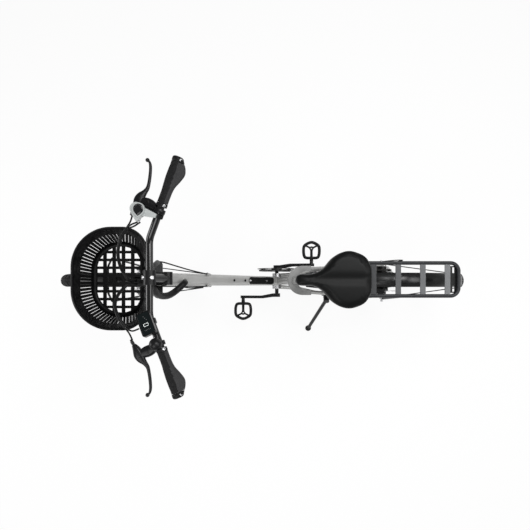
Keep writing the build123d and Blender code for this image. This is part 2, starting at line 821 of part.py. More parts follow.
def fork():
    crown = extrude(SlotCenterToCenter(2 * fork_blade_y, 2 * fork_blade_r + 8, rotation=90), -fork_crown_height)
    steerer = Pos(0, 0, -5) * Cylinder(steerer_r, steer_top + 5, align=BASE)
    race = Pos(0, 0, -fork_crown_height) * Cylinder(head_tube_r - 2, fork_crown_height - moving_gap, align=BASE)
    crown = Pos(0, 0, -moving_gap) * crown
    tab = Pos(0, 0, -fork_crown_height) * Box(24, 20, 30, align=(Align.CENTER, Align.CENTER, Align.MAX))
    blade = fork_blade()
    guard_top = at_front * across(tyre_outer_r + guard_gap + guard_thickness + seat_gap, -30, 30)
    crown_piece = steering * (crown + steerer + race + tab) - guard_top
    return {"fork_crown": crown_piece, "fork_blades": pair(blade - crown_piece)}


def stem():
    """An adjustable stem: post on the steerer, pivot, raised arm and bar clamp."""
    half_pivot, half_clamp = Vector(0, 21, 0), Vector(0, 22, 0)
    body = steering * Pos(0, 0, steer_top + seat_gap) * Cylinder(stem_post_r, stem_post_length, align=BASE)
    body += rod(stem_pivot - half_pivot, stem_pivot + half_pivot, stem_post_r)
    body += rod(stem_pivot, bar_middle, 13)
    body += rod(bar_middle - half_clamp, bar_middle + half_clamp, bar_r + 8)
    return body - rod(bar_middle - half_clamp * 2, bar_middle + half_clamp * 2, bar_r + seat_gap)


def bar_points():
    left = [grip_outer - grip_axis * 4, grip_inner, bar_bend]
    return left + [Vector(p.X, -p.Y, p.Z) for p in reversed(left)]


grip_axis = (grip_outer - grip_inner).normalized()
grip_rear = Vector(-grip_axis.Y, grip_axis.X, 0).normalized()
grip_frame = Plane(origin=grip_inner, x_dir=grip_rear, z_dir=grip_axis)
grip_length = (grip_outer - grip_inner).length


def handlebar():
    return bent_tube(bar_points(), bar_bend_r, bar_r)


def grip():
    """A left grip with a palm rest swelling to the rear."""
    # Columns: share of length, shift back, half width, half height
    table = [
        (0.0, 0, 16, 16),
        (0.32, 1, 16, 15),
        (0.55, 6, 21, 14),
        (0.72, 10, 26, 13),
        (0.87, 6, 22, 14),
        (1.0, 1, 17, 16),
    ]
    sections = [
        grip_frame * Pos(shift, 0, grip_start + share * (grip_length - grip_start)) * Ellipse(width, height)
        for share, shift, width, height in table
    ]
    bore = grip_frame * Pos(0, 0, -1) * Cylinder(bar_r + seat_gap, grip_length - 2, align=BASE)
    return loft(sections) - bore


# Places beside the left grip: out along the grip, forward of it, above it
def by_grip(out, ahead, above=0.0):
    return grip_inner + grip_axis * out - grip_rear * ahead + Vector(0, 0, above)


bar_side_axis = (grip_inner - bar_bend).normalized()


def on_bar(inboard):
    """A point on the bar's axis, inboard of the left grip."""
    return grip_inner - bar_side_axis * inboard


def bar_clamp(low, high, wall):
    return rod(on_bar(high), on_bar(low), bar_r + wall)


def bar_bore(low, high):
    return rod(on_bar(high), on_bar(low), bar_r + seat_gap)


def lever_plane():
    """Out along the grip and forward, dipping towards the fingers."""
    ahead = grip_rear * -1 - Vector(0, 0, lever_drop)
    return Plane(origin=grip_inner, x_dir=grip_axis, z_dir=grip_axis.cross(ahead))


def brake_lever():
    """Clamp, bracket, lever body, cable adjuster and blade of the left brake."""
    plane = lever_plane()
    blade_points = [(12, 81), (32, 71.5), (53, 65.5), (117, 81.5), (123.5, 93)]
    path = [plane.from_local_coords(Vector(x, y, 0)) for x, y in blade_points]
    blade = bent_tube(path, 14, 4.5) + Pos(*path[-1]) * Sphere(6)
    arch = [(-10, 12), (-23, 62), (-24, 84), (-6, 90), (12, 87)]
    arch += [(32, 77), (24, 62), (25, 52), (14, 36), (1, 12)]
    body = make_face(Polyline(*arch, close=True))
    solid = extrude(plane * fillet(body.vertices(), 2.5), 7, both=True) + blade
    solid += rod(plane.from_local_coords(Vector(-18, 80, 0)), plane.from_local_coords(Vector(-44, 79, 0)), 5)
    return solid + bar_clamp(2, 12, 5) - bar_bore(-2, 40)


def shifter():
    """Thumb shifter: pod with a round gear window beside the right grip, drawn on the left and mirrored."""
    plane = Plane(origin=by_grip(0, 0, 7), x_dir=grip_axis, z_dir=grip_axis.cross(grip_rear * -1))
    eyes = Pos(-23, 58) * Circle(19) + Pos(-52, 47) * Circle(5)
    pod = extrude(plane * make_hull(eyes.edges()), -22)
    neck = make_face(Polyline((-40, 50), (-12, 44), (-17, 0), (-29, 0), close=True))
    arm = extrude(plane * neck, -14)
    stalk = rod(by_grip(-36, 54, 9), by_grip(-36, 54, -30), 5)
    thumb = rod(by_grip(-36, 54, -28), by_grip(-4, 28, -30), 5)
    return mirrored(pod + arm + stalk + thumb + bar_clamp(14, 26, 5) - bar_bore(0, 60))


def display():
    """Flat display case on a clamp at the bar's left bend."""
    middle = on_bar(display_along)
    across_bar = Vector(bar_side_axis.Y, -bar_side_axis.X, 0).normalized()
    case_plane = Plane(
        origin=middle + across_bar * 10 + Vector(0, 0, 23),
        x_dir=bar_side_axis,
        z_dir=bar_side_axis.cross(across_bar * -1),
    )
    outline = fillet(Rectangle(72, 42).vertices(), 6)
    case = extrude(case_plane * outline, 7, both=True)
    post = rod(middle, middle + Vector(0, 0, 20), 7)
    return case + bar_clamp(display_along - 7, display_along + 7, 4) + post - bar_bore(display_along - 25, 95)


def bell():
    """A domed bell that stands on the left brake's clamp."""
    place = on_bar(7)
    dome = Pos(*(on_bar(7) + Vector(6, 0, 22))) * (Sphere(19) & Pos(0, 0, 10) * Box(60, 60, 20))
    post = rod(place + Vector(0, 0, 8), place + Vector(0, 0, 30), 5)
    return dome + post - rod(on_bar(30), on_bar(-24), bar_r + 5 + seat_gap)


def cockpit():
    left_lever, left_grip = brake_lever(), grip()
    return {
        "stem": stem(),
        "handlebar": handlebar(),
        "grips": pair(left_grip),
        "brake_lever_left": left_lever,
        "brake_lever_right": mirrored(left_lever),
        "shifter": shifter(),
        "display": display(),
        "bell": bell(),
    }


# Seat post and saddle
def saddle():
    """A closed pad with the saddle's plan: round nose, waist and a wide round back."""
    flare = saddle_width / 2
    # Columns: distance behind the nose, half width, corner radius
    table = [
        (0, 18.0, 17.0),
        (saddle_length * 0.3, 26.0, 90.0),
        (saddle_length * 0.53, flare - 9, 80.0),
        (saddle_length * 0.71, flare + 4, 60.0),
        (saddle_length - 22, flare - 17, 50.0),
        (saddle_length, flare - 53, 60.0),
    ]
    left = [(saddle_nose_x - behind, half) for behind, half, r in table]
    right = [(x, -y) for x, y in reversed(left)]
    radii = [r for behind, half, r in table]
    plan = make_face(FilletPolyline(*left, *right, radius=radii + radii[::-1], close=True))
    pad = extrude(Pos(0, 0, saddle_base_z) * plan, saddle_depth)
    return fillet(pad.faces().sort_by(Axis.Z)[-1].edges(), 13)


def seat():
    top = (saddle_clamp_z - bb_height) / sin(radians(seat_angle))
    post = seat_tube_solid(seat_post_r, 124, top - 6)
    clamp_x = seat_x(saddle_clamp_z)
    head = Pos(clamp_x, 0, saddle_clamp_z) * Box(44, 52, 18)
    rail_y, rail_z, rail_r = 21.0, saddle_clamp_z + 13, 3.5
    end_z = saddle_base_z - rail_r - seat_gap
    rail_points = [
        (clamp_x + 112, 10, end_z),
        (clamp_x + 92, 10, end_z),
        (clamp_x + 40, rail_y, rail_z),
        (clamp_x - 40, rail_y, rail_z),
        (clamp_x - 82, rail_y + 14, end_z),
        (clamp_x - 102, rail_y + 14, end_z),
    ]
    collar = seat_tube_solid(seat_tube_r + 6, seat_tube_length - 18, seat_tube_length + 6)
    collar -= seat_tube_solid(seat_tube_r + seat_gap, seat_tube_length - 40, seat_tube_length + seat_gap)
    collar -= seat_tube_solid(seat_post_r + seat_gap, 0, seat_tube_length + 40)
    lever_place = seat_line.from_local_coords(Vector(-seat_tube_r - 10, 0, seat_tube_length - 6))
    collar += rod(lever_place + Vector(0, -16, 0), lever_place + Vector(0, 16, 0), 5)
    return {
        "seat_post": post + head,
        "saddle_rails": pair(bent_tube(rail_points, 12, rail_r)),
        "seat_collar": collar,
        "saddle": saddle(),
    }


# Rear rack, lamp and mudguards
def rack_deck():
    """A tube hoop with flat slats across it."""
    path = [
        (rack_front_x, rack_half_width, rack_z),
        (rack_rear_x, rack_half_width, rack_z),
        (rack_rear_x, -rack_half_width, rack_z),
        (rack_front_x, -rack_half_width, rack_z),
    ]
    deck = bent_tube(path, rack_corner_r, rack_tube_r)
    for i in range(slat_count):
        slat = Box(slat_width, 2 * rack_half_width, slat_thickness)
        deck += Pos(slat_first_x - i * slat_pitch, 0, rack_z + 2) * slat
    return deck


def rack_legs():
    """Two legs to the dropouts and two stays to the seat tube, left side first."""
    top = Vector(rear_axle.X + 16, rack_half_width, rack_z - rack_tube_r - seat_gap)
    foot = rear_axle + Vector(0, dropout_inner_y + dropout_width + 6 + seat_gap, 34)
    leg = rod(foot, top, 5) + rod(foot + Vector(0, -6, 0), foot + Vector(0, 4, 0), 8)
    seat_point = seat_line.from_local_coords(Vector(0, seat_tube_r + 6 + seat_gap, seat_tube_length - 40))
    rail = Vector(rack_front_x - 14, rack_half_width - rack_tube_r - 4 - seat_gap, rack_z)
    stay = rod(rail, seat_point, 4)
    return together(leg, mirrored(leg), stay, mirrored(stay))


def tail_light():
    """A slotted bracket plate under the hoop's end, with the lamp below it."""
    plate_x = rack_rear_x + 12
    plate_z = rack_z - rack_tube_r - seat_gap - 2
    plate = Pos(plate_x, 0, plate_z) * Box(34, 100, 4)
    for side in (-1, 1):
        plate -= Pos(plate_x + 4, side * 34, plate_z) * Box(8, 22, 10)
    lamp = Pos(plate_x, 0, plate_z + 1) * Box(30, 44, 36, align=(Align.CENTER, Align.CENTER, Align.MAX))
    return plate + fillet(lamp.edges().filter_by(Axis.X), 8)


def guard(start_angle, end_angle):
    """A curved strip over a tyre between two angles, counted up from straight ahead."""
    inner_r = tyre_outer_r + guard_gap
    drop = guard_crown_r - sqrt(guard_crown_r**2 - (guard_width / 2) ** 2)
    half = guard_width / 2

    def arc(top):
        return ThreePointArc((top - drop, -half), (top, 0), (top - drop, half))

    outer, inner = arc(inner_r + guard_thickness), arc(inner_r)
    edges = [outer, inner, Line(outer @ 0, inner @ 0), Line(outer @ 1, inner @ 1)]
    strip = revolve(make_face(edges), Axis.Y, end_angle - start_angle)
    return Rot(0, -start_angle, 0) * Rot(0, -(end_angle - start_angle), 0) * strip


def guard_stay(axle, angle, face_y):
    """A thin wire stay from the axle's side to the mudguard's edge, left side."""
    edge_r = tyre_outer_r + guard_gap - 10
    edge = axle + Vector(edge_r * cos(radians(angle)), guard_width / 2 + 2.6, edge_r * sin(radians(angle)))
    foot = axle + Vector(14 * cos(radians(angle)), face_y, 14 * sin(radians(angle)))
    return rod(foot, edge, 2.2)


rear_guard_angles = (18.0, 186.0)
front_guard_angles = (62.0, 172.0)


def guards():
    rear_face = dropout_inner_y + dropout_width + 3.4 + seat_gap
    front_face = fork_blade_y + fork_blade_r + 3.4 + seat_gap
    return {
        "rear_guard": at_rear * guard(*rear_guard_angles),
        "front_guard": at_front * guard(*front_guard_angles),
        "rear_guard_stays": pair(guard_stay(rear_axle, rear_guard_angles[1] - 14, rear_face)),
        "front_guard_stays": pair(guard_stay(front_axle, front_guard_angles[1] - 14, front_face)),
    }


# Basket and its carrier
def basket_section(height, inset):
    """A level section of the basket at a height above its floor, rounder at the front."""
    share = height / basket_depth
    front = basket_floor_front_x + (basket_rim_front_x - basket_floor_front_x) * share - inset
    rear = basket_floor_rear_x + (basket_rim_rear_x - basket_floor_rear_x) * share + inset
    half = (basket_floor_width + (basket_rim_width - basket_floor_width) * share) / 2 - inset
    pairs = zip(basket_floor_corners, basket_rim_corners)
    radii = [low + (high - low) * share - inset for low, high in pairs]
    corners = [(front, -half), (front, half), (rear, half), (rear, -half)]
    return FilletPolyline(*corners, radius=[radii[0], radii[0], radii[1], radii[1]], close=True)


def basket_tub(inset, lift):
    """The tapered inside or outside of the basket as a solid."""
    low, high = make_face(basket_section(0, inset)), make_face(basket_section(basket_depth, inset))
    return loft([Pos(0, 0, basket_floor_z + lift) * low, Pos(0, 0, basket_rim_z + lift) * high], ruled=True)


def basket_slots():
    """Pairs of narrow upright slots spaced evenly round the wall, each square to it."""
    middle = (basket_slot_low + basket_slot_high) / 2
    ring = basket_section(middle, basket_wall / 2)
    height = basket_slot_high - basket_slot_low
    slots = []
    for i in range(basket_slot_pairs):
        share = (i + 0.5) / basket_slot_pairs
        spot, along = ring @ share, ring % share
        place = Plane(origin=(spot.X, spot.Y, basket_floor_z + middle), x_dir=along)
        for side in (-1, 1):
            shift = side * basket_slot_spacing / 2
            slots.append(place * Pos(shift, 0, 0) * Box(basket_slot_width, basket_slot_reach, height))
    return slots


def basket_holes():
    """A grid of square holes in the floor, cut off where they meet its margin."""
    clear = make_face(basket_section(0, basket_hole_margin))
    middle_x = (basket_floor_front_x + basket_floor_rear_x) / 2
    holes = []
    for i in range(-3, 4):
        for j in range(-5, 6):
            spot = (middle_x + i * basket_hole_pitch[0], j * basket_hole_pitch[1])
            hole = Pos(*spot) * Rectangle(*basket_hole)
            shared = hole & clear
            if shared and shared.area > 0.2 * hole.area:
                holes.append(Pos(0, 0, basket_floor_z - 1) * extrude(shared, basket_wall + 2))
    return holes


def basket():
    """A tapered tub with a turned rim, slotted walls and a grid floor."""
    rim_ring = make_face(basket_section(basket_depth, -basket_lip))
    rim_ring -= make_face(basket_section(basket_depth, basket_wall))
    tub = basket_tub(0, 0) - basket_tub(basket_wall, basket_wall)
    tub += extrude(Pos(0, 0, basket_rim_z - basket_lip_height) * rim_ring, basket_lip_height)
    return tub.cut(*basket_slots(), *basket_holes())


def basket_struts():
    """One bent rod: up from the axle's left end, across under the basket's floor and down to the right end."""
    rod_r, shoulder = 4.0, 22.0
    floor_under = basket_floor_z - rod_r - seat_gap
    foot_y = front_axle_end + rod_r + seat_gap
    x = front_axle.X + 6
    left = [
        (front_axle.X, foot_y, front_axle.Z - 6),
        (x, foot_y + 12, floor_under - 2 * shoulder),
        (x, foot_y - shoulder, floor_under),
    ]
    right = [(x, -y, z) for x, y, z in reversed(left)]
    return bent_tube(left + right, shoulder, rod_r)


def basket_bracket():
    """A ring on the stem's post with a flat arm to the basket's back wall."""
    middle = steer_point(steer_top + bracket_along)
    place = Plane(origin=middle, x_dir=steer_ahead, z_dir=steer_up)
    ring = place * Cylinder(stem_post_r + 5, bracket_height)
    reach = basket_floor_rear_x - middle.X + 20
    from_rear = (Align.MIN, Align.CENTER, Align.CENTER)
    arm = Pos(*middle) * Box(reach, bracket_width, bracket_height / 2, align=from_rear)
    post = place * Cylinder(stem_post_r + seat_gap, 5 * bracket_height)
    return (ring + arm - post - basket_tub(-seat_gap, 0)).solids().sort_by(SortBy.VOLUME)[-1]


def headlamp():
    """A round lamp on a foot in front of the fork crown."""
    length, r = headlamp_length, headlamp_r
    outline = [(0, 0), (r * 0.55, 0), (r * 0.86, length / 3), (r, length * 0.8), (r, length), (0, length)]
    turned = revolve(make_face(Polyline(*outline, close=True)), Axis.Y)
    crown_front = head_tube_r - 2 + seat_gap
    place = steer_point(-fork_crown_height / 2, crown_front + headlamp_foot)
    stub = Rot(0, 90, 0) * Cylinder(7, headlamp_foot + 8, align=BASE)
    foot = steering * Pos(crown_front, 0, -fork_crown_height / 2) * stub
    return foot + Pos(place.X - length / 4, 0, place.Z + 4) * Rot(0, 0, -90) * turned


# Brake calipers: a body that straddles the disc, and a tail to what carries it
def caliper_body(disc_y):
    """A block over the disc's edge, slotted for the disc; its middle is at the origin."""
    length, height = caliper_size
    outline = fillet(Rectangle(length, height).vertices(), 7)
    block = side_plate(outline, disc_y - caliper_inner, disc_y + caliper_outer)
    slot = Pos(0, disc_y, 0) * Box(2 * length, disc_width + 2.4, 2 * height)
    bridge = Pos(0, disc_y, height / 2 - 1) * Box(length * 0.8, disc_width + 4, 4)
    cap = across(height * 0.32, disc_y + caliper_outer - 1, disc_y + caliper_outer + 4)
    return block - slot + bridge + cap


def caliper_place(axle, angle):
    turn = radians(angle)
    return Pos(*(axle + Vector(cos(turn), 0, sin(turn)) * caliper_place_r)) * Rot(0, 90 - angle, 0)


def calipers():
    front_tail = Pos(caliper_size[0] * 0.42, front_disc_y + caliper_outer - 5, 0) * Box(30, 10, 18)
    front = caliper_place(front_axle, front_caliper_angle) * (caliper_body(front_disc_y) + front_tail)
    blade_room = bent_tube(fork_blade_points(), 160, fork_blade_r + seat_gap)
    rear_low, rear_high = rear_disc_y + caliper_outer - 6, dropout_inner_y - seat_gap
    rear_tail = Pos(0, (rear_low + rear_high) / 2, -26) * Box(22, rear_high - rear_low, 44)
    rear = caliper_place(rear_axle, rear_caliper_angle) * (caliper_body(rear_disc_y) + rear_tail)
    axle_room = at_rear * across(rear_axle_r + 6, 0, 90)
    return {"front_caliper": front - blade_room, "rear_caliper": rear - axle_room}


# Cables, each from a list of points chosen along its route
def cord(points, radius):
    """A round cord whose bends are as wide as their runs allow."""
    points = [Vector(p) for p in points]
    radii = []
    for before, corner, after in zip(points, points[1:], points[2:]):
        turn = (corner - before).get_angle(after - corner)
        shorter = min((corner - before).length, (after - corner).length)
        radii.append(0.45 * shorter / tan(radians(turn) / 2))
    path = FilletPolyline(*points, radius=radii)
    return sweep(Plane(origin=path @ 0, z_dir=path % 0) * Circle(radius), path=path)


loom_start = bar_middle + Vector(64, 13, -76)
loom_next = bar_middle + Vector(44, 14, -102)
loom_axis = (loom_start - loom_next).normalized()


def into_loom(side):
    """The last two points of a bundle, square to the loom's open end; side is 1 for left."""
    aside = Vector(1, 0, 0).cross(loom_axis).normalized()
    spot = loom_start - aside * side * bundle_r * 1.1
    return [spot + loom_axis * 26, spot + loom_axis * 0.4]


def bundle_mouth(bundle, column, row):
    """A place on a bundle's outer end for one of its cables, counted in cable radii."""
    out = (bundle[0] - bundle[1]).normalized()
    aside = out.cross(Vector(0, 0, 1)).normalized()
    return bundle[0] + out * cable_r * 0.5 + aside * column * cable_r + Vector(0, 0, row * cable_r)


def from_bar(*offsets):
    """Points counted from the middle of the handlebar."""
    return [bar_middle + Vector(offset) for offset in offsets]


def lever_cable_end(side):
    """Just off the tip of a brake's cable adjuster; side is 1 for left."""
    tip = lever_plane().from_local_coords(Vector(-44 - cable_r * 0.6, 79, 0))
    return Vector(tip.X, side * tip.Y, tip.Z)


def bundles():
    """Routes of the two bundles from beside the basket's rim to the loom, right one first."""
    right = from_bar((62, -147, 14), (82, -118, 13), (95, -82, 0), (99, -48, -22), (96, -20, -48))
    left = from_bar((67, 147, 15), (90, 116, 14), (105, 82, 1), (102, 52, -22), (93, 32, -48))
    return right + into_loom(-1), left + into_loom(1)


def control_cables():
    """Brake, gear and display cables, and the two bundles that gather them."""
    right, left = bundles()
    brake_right = [lever_cable_end(-1)] + from_bar((53, -166, 11)) + [bundle_mouth(right, -1.05, -0.6)]
    brake_left = [lever_cable_end(1)] + from_bar((56, 166, 12)) + [bundle_mouth(left, 1.05, -0.6)]
    gear_up = from_bar((26.6, -161.2, 34), (46, -156, 27)) + [bundle_mouth(right, 0, 1.2)]
    gear_down = from_bar((19.2, -161.2, 31), (41, -150, 21)) + [bundle_mouth(right, 1.1, -0.6)]
    screen = from_bar((22, 150, 34), (42, 158, 27), (56, 155, 20)) + [bundle_mouth(left, -1.05, -0.6)]
    thin = [cord(route, cable_r) for route in (brake_right, brake_left, gear_up, gear_down, screen)]
    return together(cord(right, bundle_r), cord(left, bundle_r), *thin)


def beside_tube(*places):
    """Points over the main tube: distance along it, to the left of its middle, off its upper face."""
    return [tube_top(along).from_local_coords(Vector(0, left, off)) for along, left, off in places]


def cable_loom():
    """A thick loom and a slimmer sleeve past the head tube, and two cables along the main tube."""
    loom = [loom_start, loom_next] + from_bar((27, 27, -138), (22, 50, -180))
    loom += [steer_point(161, 7, 60), steer_point(127, -21, 60), steer_point(98, -50, 45)]
    loom += [loom_port().from_local_coords(Vector(0, 0, off)) for off in (24, 0.4)]
    sleeve = from_bar((36, -14, -92), (29, -28, -124), (26, -46, -170)) + [steer_point(161, 20, -57)]
    leave = (sleeve[-1] - sleeve[-2]).normalized()
    ports = [port_line(side) for side in (1, -1)]
    ends = [mouth + (mouth - inner).normalized() * 2 for inner, mouth in ports]
    right = [sleeve[-1] + leave * 0.4, sleeve[-1] + leave * 20]
    right += [steer_point(117, -6, -61), steer_point(86, -46, -52)]
    right += beside_tube((90, -40, 0), (138, -31, 0)) + ends[1:]
    left = beside_tube((78, 28.6, 3), (108, 32, 1), (150, 30, 0)) + ends[:1]
    thick = [cord(loom, loom_r), cord(sleeve, sleeve_r)]
    return together(*thick, cord(right, cable_r), cord(left, cable_r))


def gear_cable():
    """The loop from the right chainstay round to the derailleur."""
    offsets = [(62, -82.6, -5), (16, -88, -9), (-34, -94, -9), (-80, -98, -15), (-110, -99, -35)]
    offsets += [(-114, -98, -65), (-94, -94, -84), (-62, -88, -82), (-32, -81, -66), (-6, -75.5, -50.5)]
    return cord([rear_axle + Vector(offset) for offset in offsets], cable_r)


def cables():
    return {"control_cables": control_cables(), "cable_loom": cable_loom(), "gear_cable": gear_cable()}


def front_load():
    return {
        "basket": basket(),
        "basket_carrier": together(basket_struts(), basket_bracket()),
        "headlamp": headlamp(),
    }


# Side stand: leg direction when down, folding axis, bracket
def ground_height(y):
    """Height of the road, in the upright bicycle's frame, at a sideways place when it leans."""
    lean = radians(lean_angle)
    return (y * sin(lean) - tyre_section_r * (1 - cos(lean))) / cos(lean)


pivot = Vector(rear_axle.X + stand_pivot_ahead, stand_pivot_y, bb_height + stand_pivot_above_bracket)
stand_foot = Vector(pivot.X + stand_foot_ahead, stand_foot_y, ground_height(stand_foot_y))
stand_down = (stand_foot - pivot).normalized()
stand_folded = Vector(-1, 0.08, 0.04).normalized()
stand_axis = stand_down.cross(stand_folded).normalized()
stand_travel = degrees(stand_down.get_angle(stand_folded) * pi / 180)


def stand():
    road_up = Vector(0, -sin(radians(lean_angle)), cos(radians(lean_angle)))
    pad = Plane(origin=stand_foot, z_dir=road_up) * Cylinder(stand_foot_r, 12, align=BASE)
    leg = rod(pivot, stand_foot + road_up * 9, stand_leg_r)
    hub = rod(pivot - stand_axis * 11, pivot + stand_axis * 11, 14)
    return leg + hub + pad


def stand_bracket():
    """Clamp on the left chainstay with a lug behind the leg's pivot."""
    back = pivot - stand_axis * (11 + moving_gap)
    lug = rod(back - stand_axis * 14, back, 15)
    knee, end = chainstay_points()[2:]
    middle = knee + (end - knee) * ((pivot.X - knee.X) / (end.X - knee.X))
    block = Pos(*middle) * Box(46, 2 * stay_r + 4, 2 * stay_r + 14)
    return lug + block - bent_tube(chainstay_points(), 70, stay_r + seat_gap)


def side_stand():
    return {"stand_leg": stand(), "stand_bracket": stand_bracket()}


# The whole bicycle
groups = [wheels, axles, drive, cranks, pedals, frame, fork, cockpit, seat, guards]
groups += [front_load, calipers, cables, side_stand]
nodes = {}
for group in groups:
    nodes.update(group())
nodes["rack_deck"] = rack_deck()
nodes["rack_legs"] = rack_legs()
nodes["tail_light"] = tail_light()

leaned = {name: Rot(-lean_angle, 0, 0) * shape for name, shape in nodes.items()}
boxes = [shape.bounding_box() for shape in leaned.values()]
low = Vector(*[min(getattr(b.min, axis) for b in boxes) for axis in "XYZ"])
high = Vector(*[max(getattr(b.max, axis) for b in boxes) for axis in "XYZ"])
origin = Vector((low.X + high.X) / 2, (low.Y + high.Y) / 2, low.Z)

os.makedirs("parts", exist_ok=True)
for name, shape in leaned.items():
    export_step(Pos(*(origin * -1)) * shape, f"parts/{name}.step")
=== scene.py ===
"""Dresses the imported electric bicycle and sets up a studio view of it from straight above. Lengths are metres."""
import json
from math import acos, cos, exp, pi, radians, sin

import bmesh
import bpy
from mathutils import Matrix, Vector
from mathutils.bvhtree import BVHTree
from mathutils.geometry import delaunay_2d_cdt


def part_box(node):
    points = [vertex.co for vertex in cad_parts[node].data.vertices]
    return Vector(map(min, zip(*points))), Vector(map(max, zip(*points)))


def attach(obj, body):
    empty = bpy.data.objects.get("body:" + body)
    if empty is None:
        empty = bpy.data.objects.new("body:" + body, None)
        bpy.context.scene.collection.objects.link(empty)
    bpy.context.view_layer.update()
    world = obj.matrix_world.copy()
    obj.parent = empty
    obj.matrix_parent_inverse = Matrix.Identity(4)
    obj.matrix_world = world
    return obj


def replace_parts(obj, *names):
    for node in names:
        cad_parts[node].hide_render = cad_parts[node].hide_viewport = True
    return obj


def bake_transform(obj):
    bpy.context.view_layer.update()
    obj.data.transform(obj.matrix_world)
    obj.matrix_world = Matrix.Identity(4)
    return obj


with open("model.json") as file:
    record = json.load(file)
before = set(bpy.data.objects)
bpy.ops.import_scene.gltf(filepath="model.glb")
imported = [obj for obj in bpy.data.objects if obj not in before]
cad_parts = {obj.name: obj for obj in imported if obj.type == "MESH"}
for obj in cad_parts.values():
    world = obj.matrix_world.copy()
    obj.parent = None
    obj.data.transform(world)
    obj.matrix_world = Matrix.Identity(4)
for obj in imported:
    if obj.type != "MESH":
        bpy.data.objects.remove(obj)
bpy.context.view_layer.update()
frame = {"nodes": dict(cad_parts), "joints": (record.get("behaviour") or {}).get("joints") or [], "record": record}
nodes = frame["nodes"]
joints = {joint["name"]: joint for joint in frame["joints"]}

# The upright bicycle's axes, read from the joints: ahead, left and up, counted from the road under the bottom bracket
BRACKET_HEIGHT = 0.285
rear_axle = Vector(joints["rear_wheel_spin"]["pos_m"])
front_axle = Vector(joints["front_wheel_spin"]["pos_m"])
bracket = Vector(joints["crank_turn"]["pos_m"])
ahead = (front_axle - rear_axle).normalized()
left = Vector(joints["rear_wheel_spin"]["axis"])
up = ahead.cross(left)
road_point = bracket - up * BRACKET_HEIGHT


def bike(x, y, z):
    """A point of the upright bicycle, in the row frame."""
    return road_point + ahead * x + left * y + up * z


def to_bike(point):
    """A point of the row frame, in the upright bicycle's axes."""
    offset = Vector(point) - road_point
    return Vector((offset.dot(ahead), offset.dot(left), offset.dot(up)))


def axes_at(place, *axes):
    """A frame in the row with its place and its three axes."""
    made = Matrix(axes).transposed().to_4x4()
    made.translation = place
    return made


# Camera and light
IMAGE_PX = 530
FOCAL_PX = 450
AXIS_DROP_PX = 22
SENSOR_MM = 36.0
CAMERA_X = 0.056
CAMERA_Y = 0.028
CAMERA_HEIGHT = 2.427
WORLD_STRENGTH = 0.32
# Columns: name, place and target on the upright bicycle, diameter, watts
LIGHTS = (
    ("key", (-0.7, -0.9, 3.1), (0, 0, 0.6), 1.6, 48),
    ("fill", (0.9, 1.2, 2.9), (0, 0, 0.6), 1.6, 26),
    ("front", (2.6, 0.1, 1.5), (0.2, 0, 0.75), 1.2, 20),
    ("rear", (-1.9, 0, 2.6), (-0.5, 0, 0.7), 1.5, 24),
)


def new_object(name, data):
    made = bpy.data.objects.new(name, data)
    bpy.context.scene.collection.objects.link(made)
    return made


def make_camera():
    data = bpy.data.cameras.new("camera")
    data.sensor_width = SENSOR_MM
    data.lens = SENSOR_MM * FOCAL_PX / IMAGE_PX
    data.shift_y = AXIS_DROP_PX / IMAGE_PX
    camera = new_object("camera", data)
    camera.matrix_world = axes_at(bike(CAMERA_X, CAMERA_Y, CAMERA_HEIGHT), -ahead, -left, up)
    bpy.context.scene.camera = camera


def make_light(name, place, target, size, power):
    data = bpy.data.lights.new(name, "AREA")
    data.shape = "DISK"
    data.size = size
    data.energy = power
    light = new_object(name, data)
    light.location = bike(*place)
    light.rotation_euler = (bike(*target) - bike(*place)).to_track_quat("-Z", "Y").to_euler()


def make_world():
    world = bpy.data.worlds.new("studio")
    world.use_nodes = True
    background = world.node_tree.nodes["Background"]
    background.inputs["Color"].default_value = (1, 1, 1, 1)
    background.inputs["Strength"].default_value = WORLD_STRENGTH
    bpy.context.scene.world = world


# Materials: their shared values, then helpers for their nodes
WEAR_RADIUS = 0.0012
WEAR_SHARPNESS = 0.3
COAT_ROUGHNESS = 0.08
LEATHER_CELLS = 620
DRAWN_LINES = (60, 1400, 1400)


def material(name, maker, *values):
    """A new material whose nodes a maker sets up."""
    made = bpy.data.materials.new(name)
    made.use_nodes = True
    maker(made.node_tree, made.node_tree.nodes["Principled BSDF"], *values)
    return made


def feed(tree, node, values):
    """Gives a node its inputs by name or number; an input that is a socket is linked."""
    for key, value in values.items():
        if isinstance(value, bpy.types.NodeSocket):
            tree.links.new(value, node.inputs[key])
        else:
            node.inputs[key].default_value = value


def add_node(tree, kind, settings=None, **values):
    """A shader node with its settings and its inputs."""
    node = tree.nodes.new("ShaderNode" + kind)
    for key, value in (settings or {}).items():
        setattr(node, key, value)
    feed(tree, node, values)
    return node


def object_points(tree):
    return add_node(tree, "TexCoord").outputs["Object"]


def noise(tree, scale, detail, points=None):
    node = add_node(tree, "TexNoise", Vector=points or object_points(tree), Scale=scale, Detail=detail)
    return node.outputs["Fac"]


def mapped(tree, value, low, high, from_low=0.3, from_high=0.7):
    node = add_node(tree, "MapRange")
    feed(tree, node, {"Value": value, "From Min": from_low, "From Max": from_high, "To Min": low, "To Max": high})
    return node.outputs["Result"]


def combined(tree, operation, first, second, kind="Math"):
    node = add_node(tree, kind, {"operation": operation})
    feed(tree, node, {0: first, 1: second})
    return node.outputs["Value"]


def mixed(tree, factor, first, second):
    """A colour between two, each a tuple or a socket."""
    node = add_node(tree, "Mix", {"data_type": "RGBA"}, Factor=factor)
    for key, value in ((6, first), (7, second)):
        feed(tree, node, {key: value if isinstance(value, bpy.types.NodeSocket) else (*value, 1)})
    return node.outputs[2]


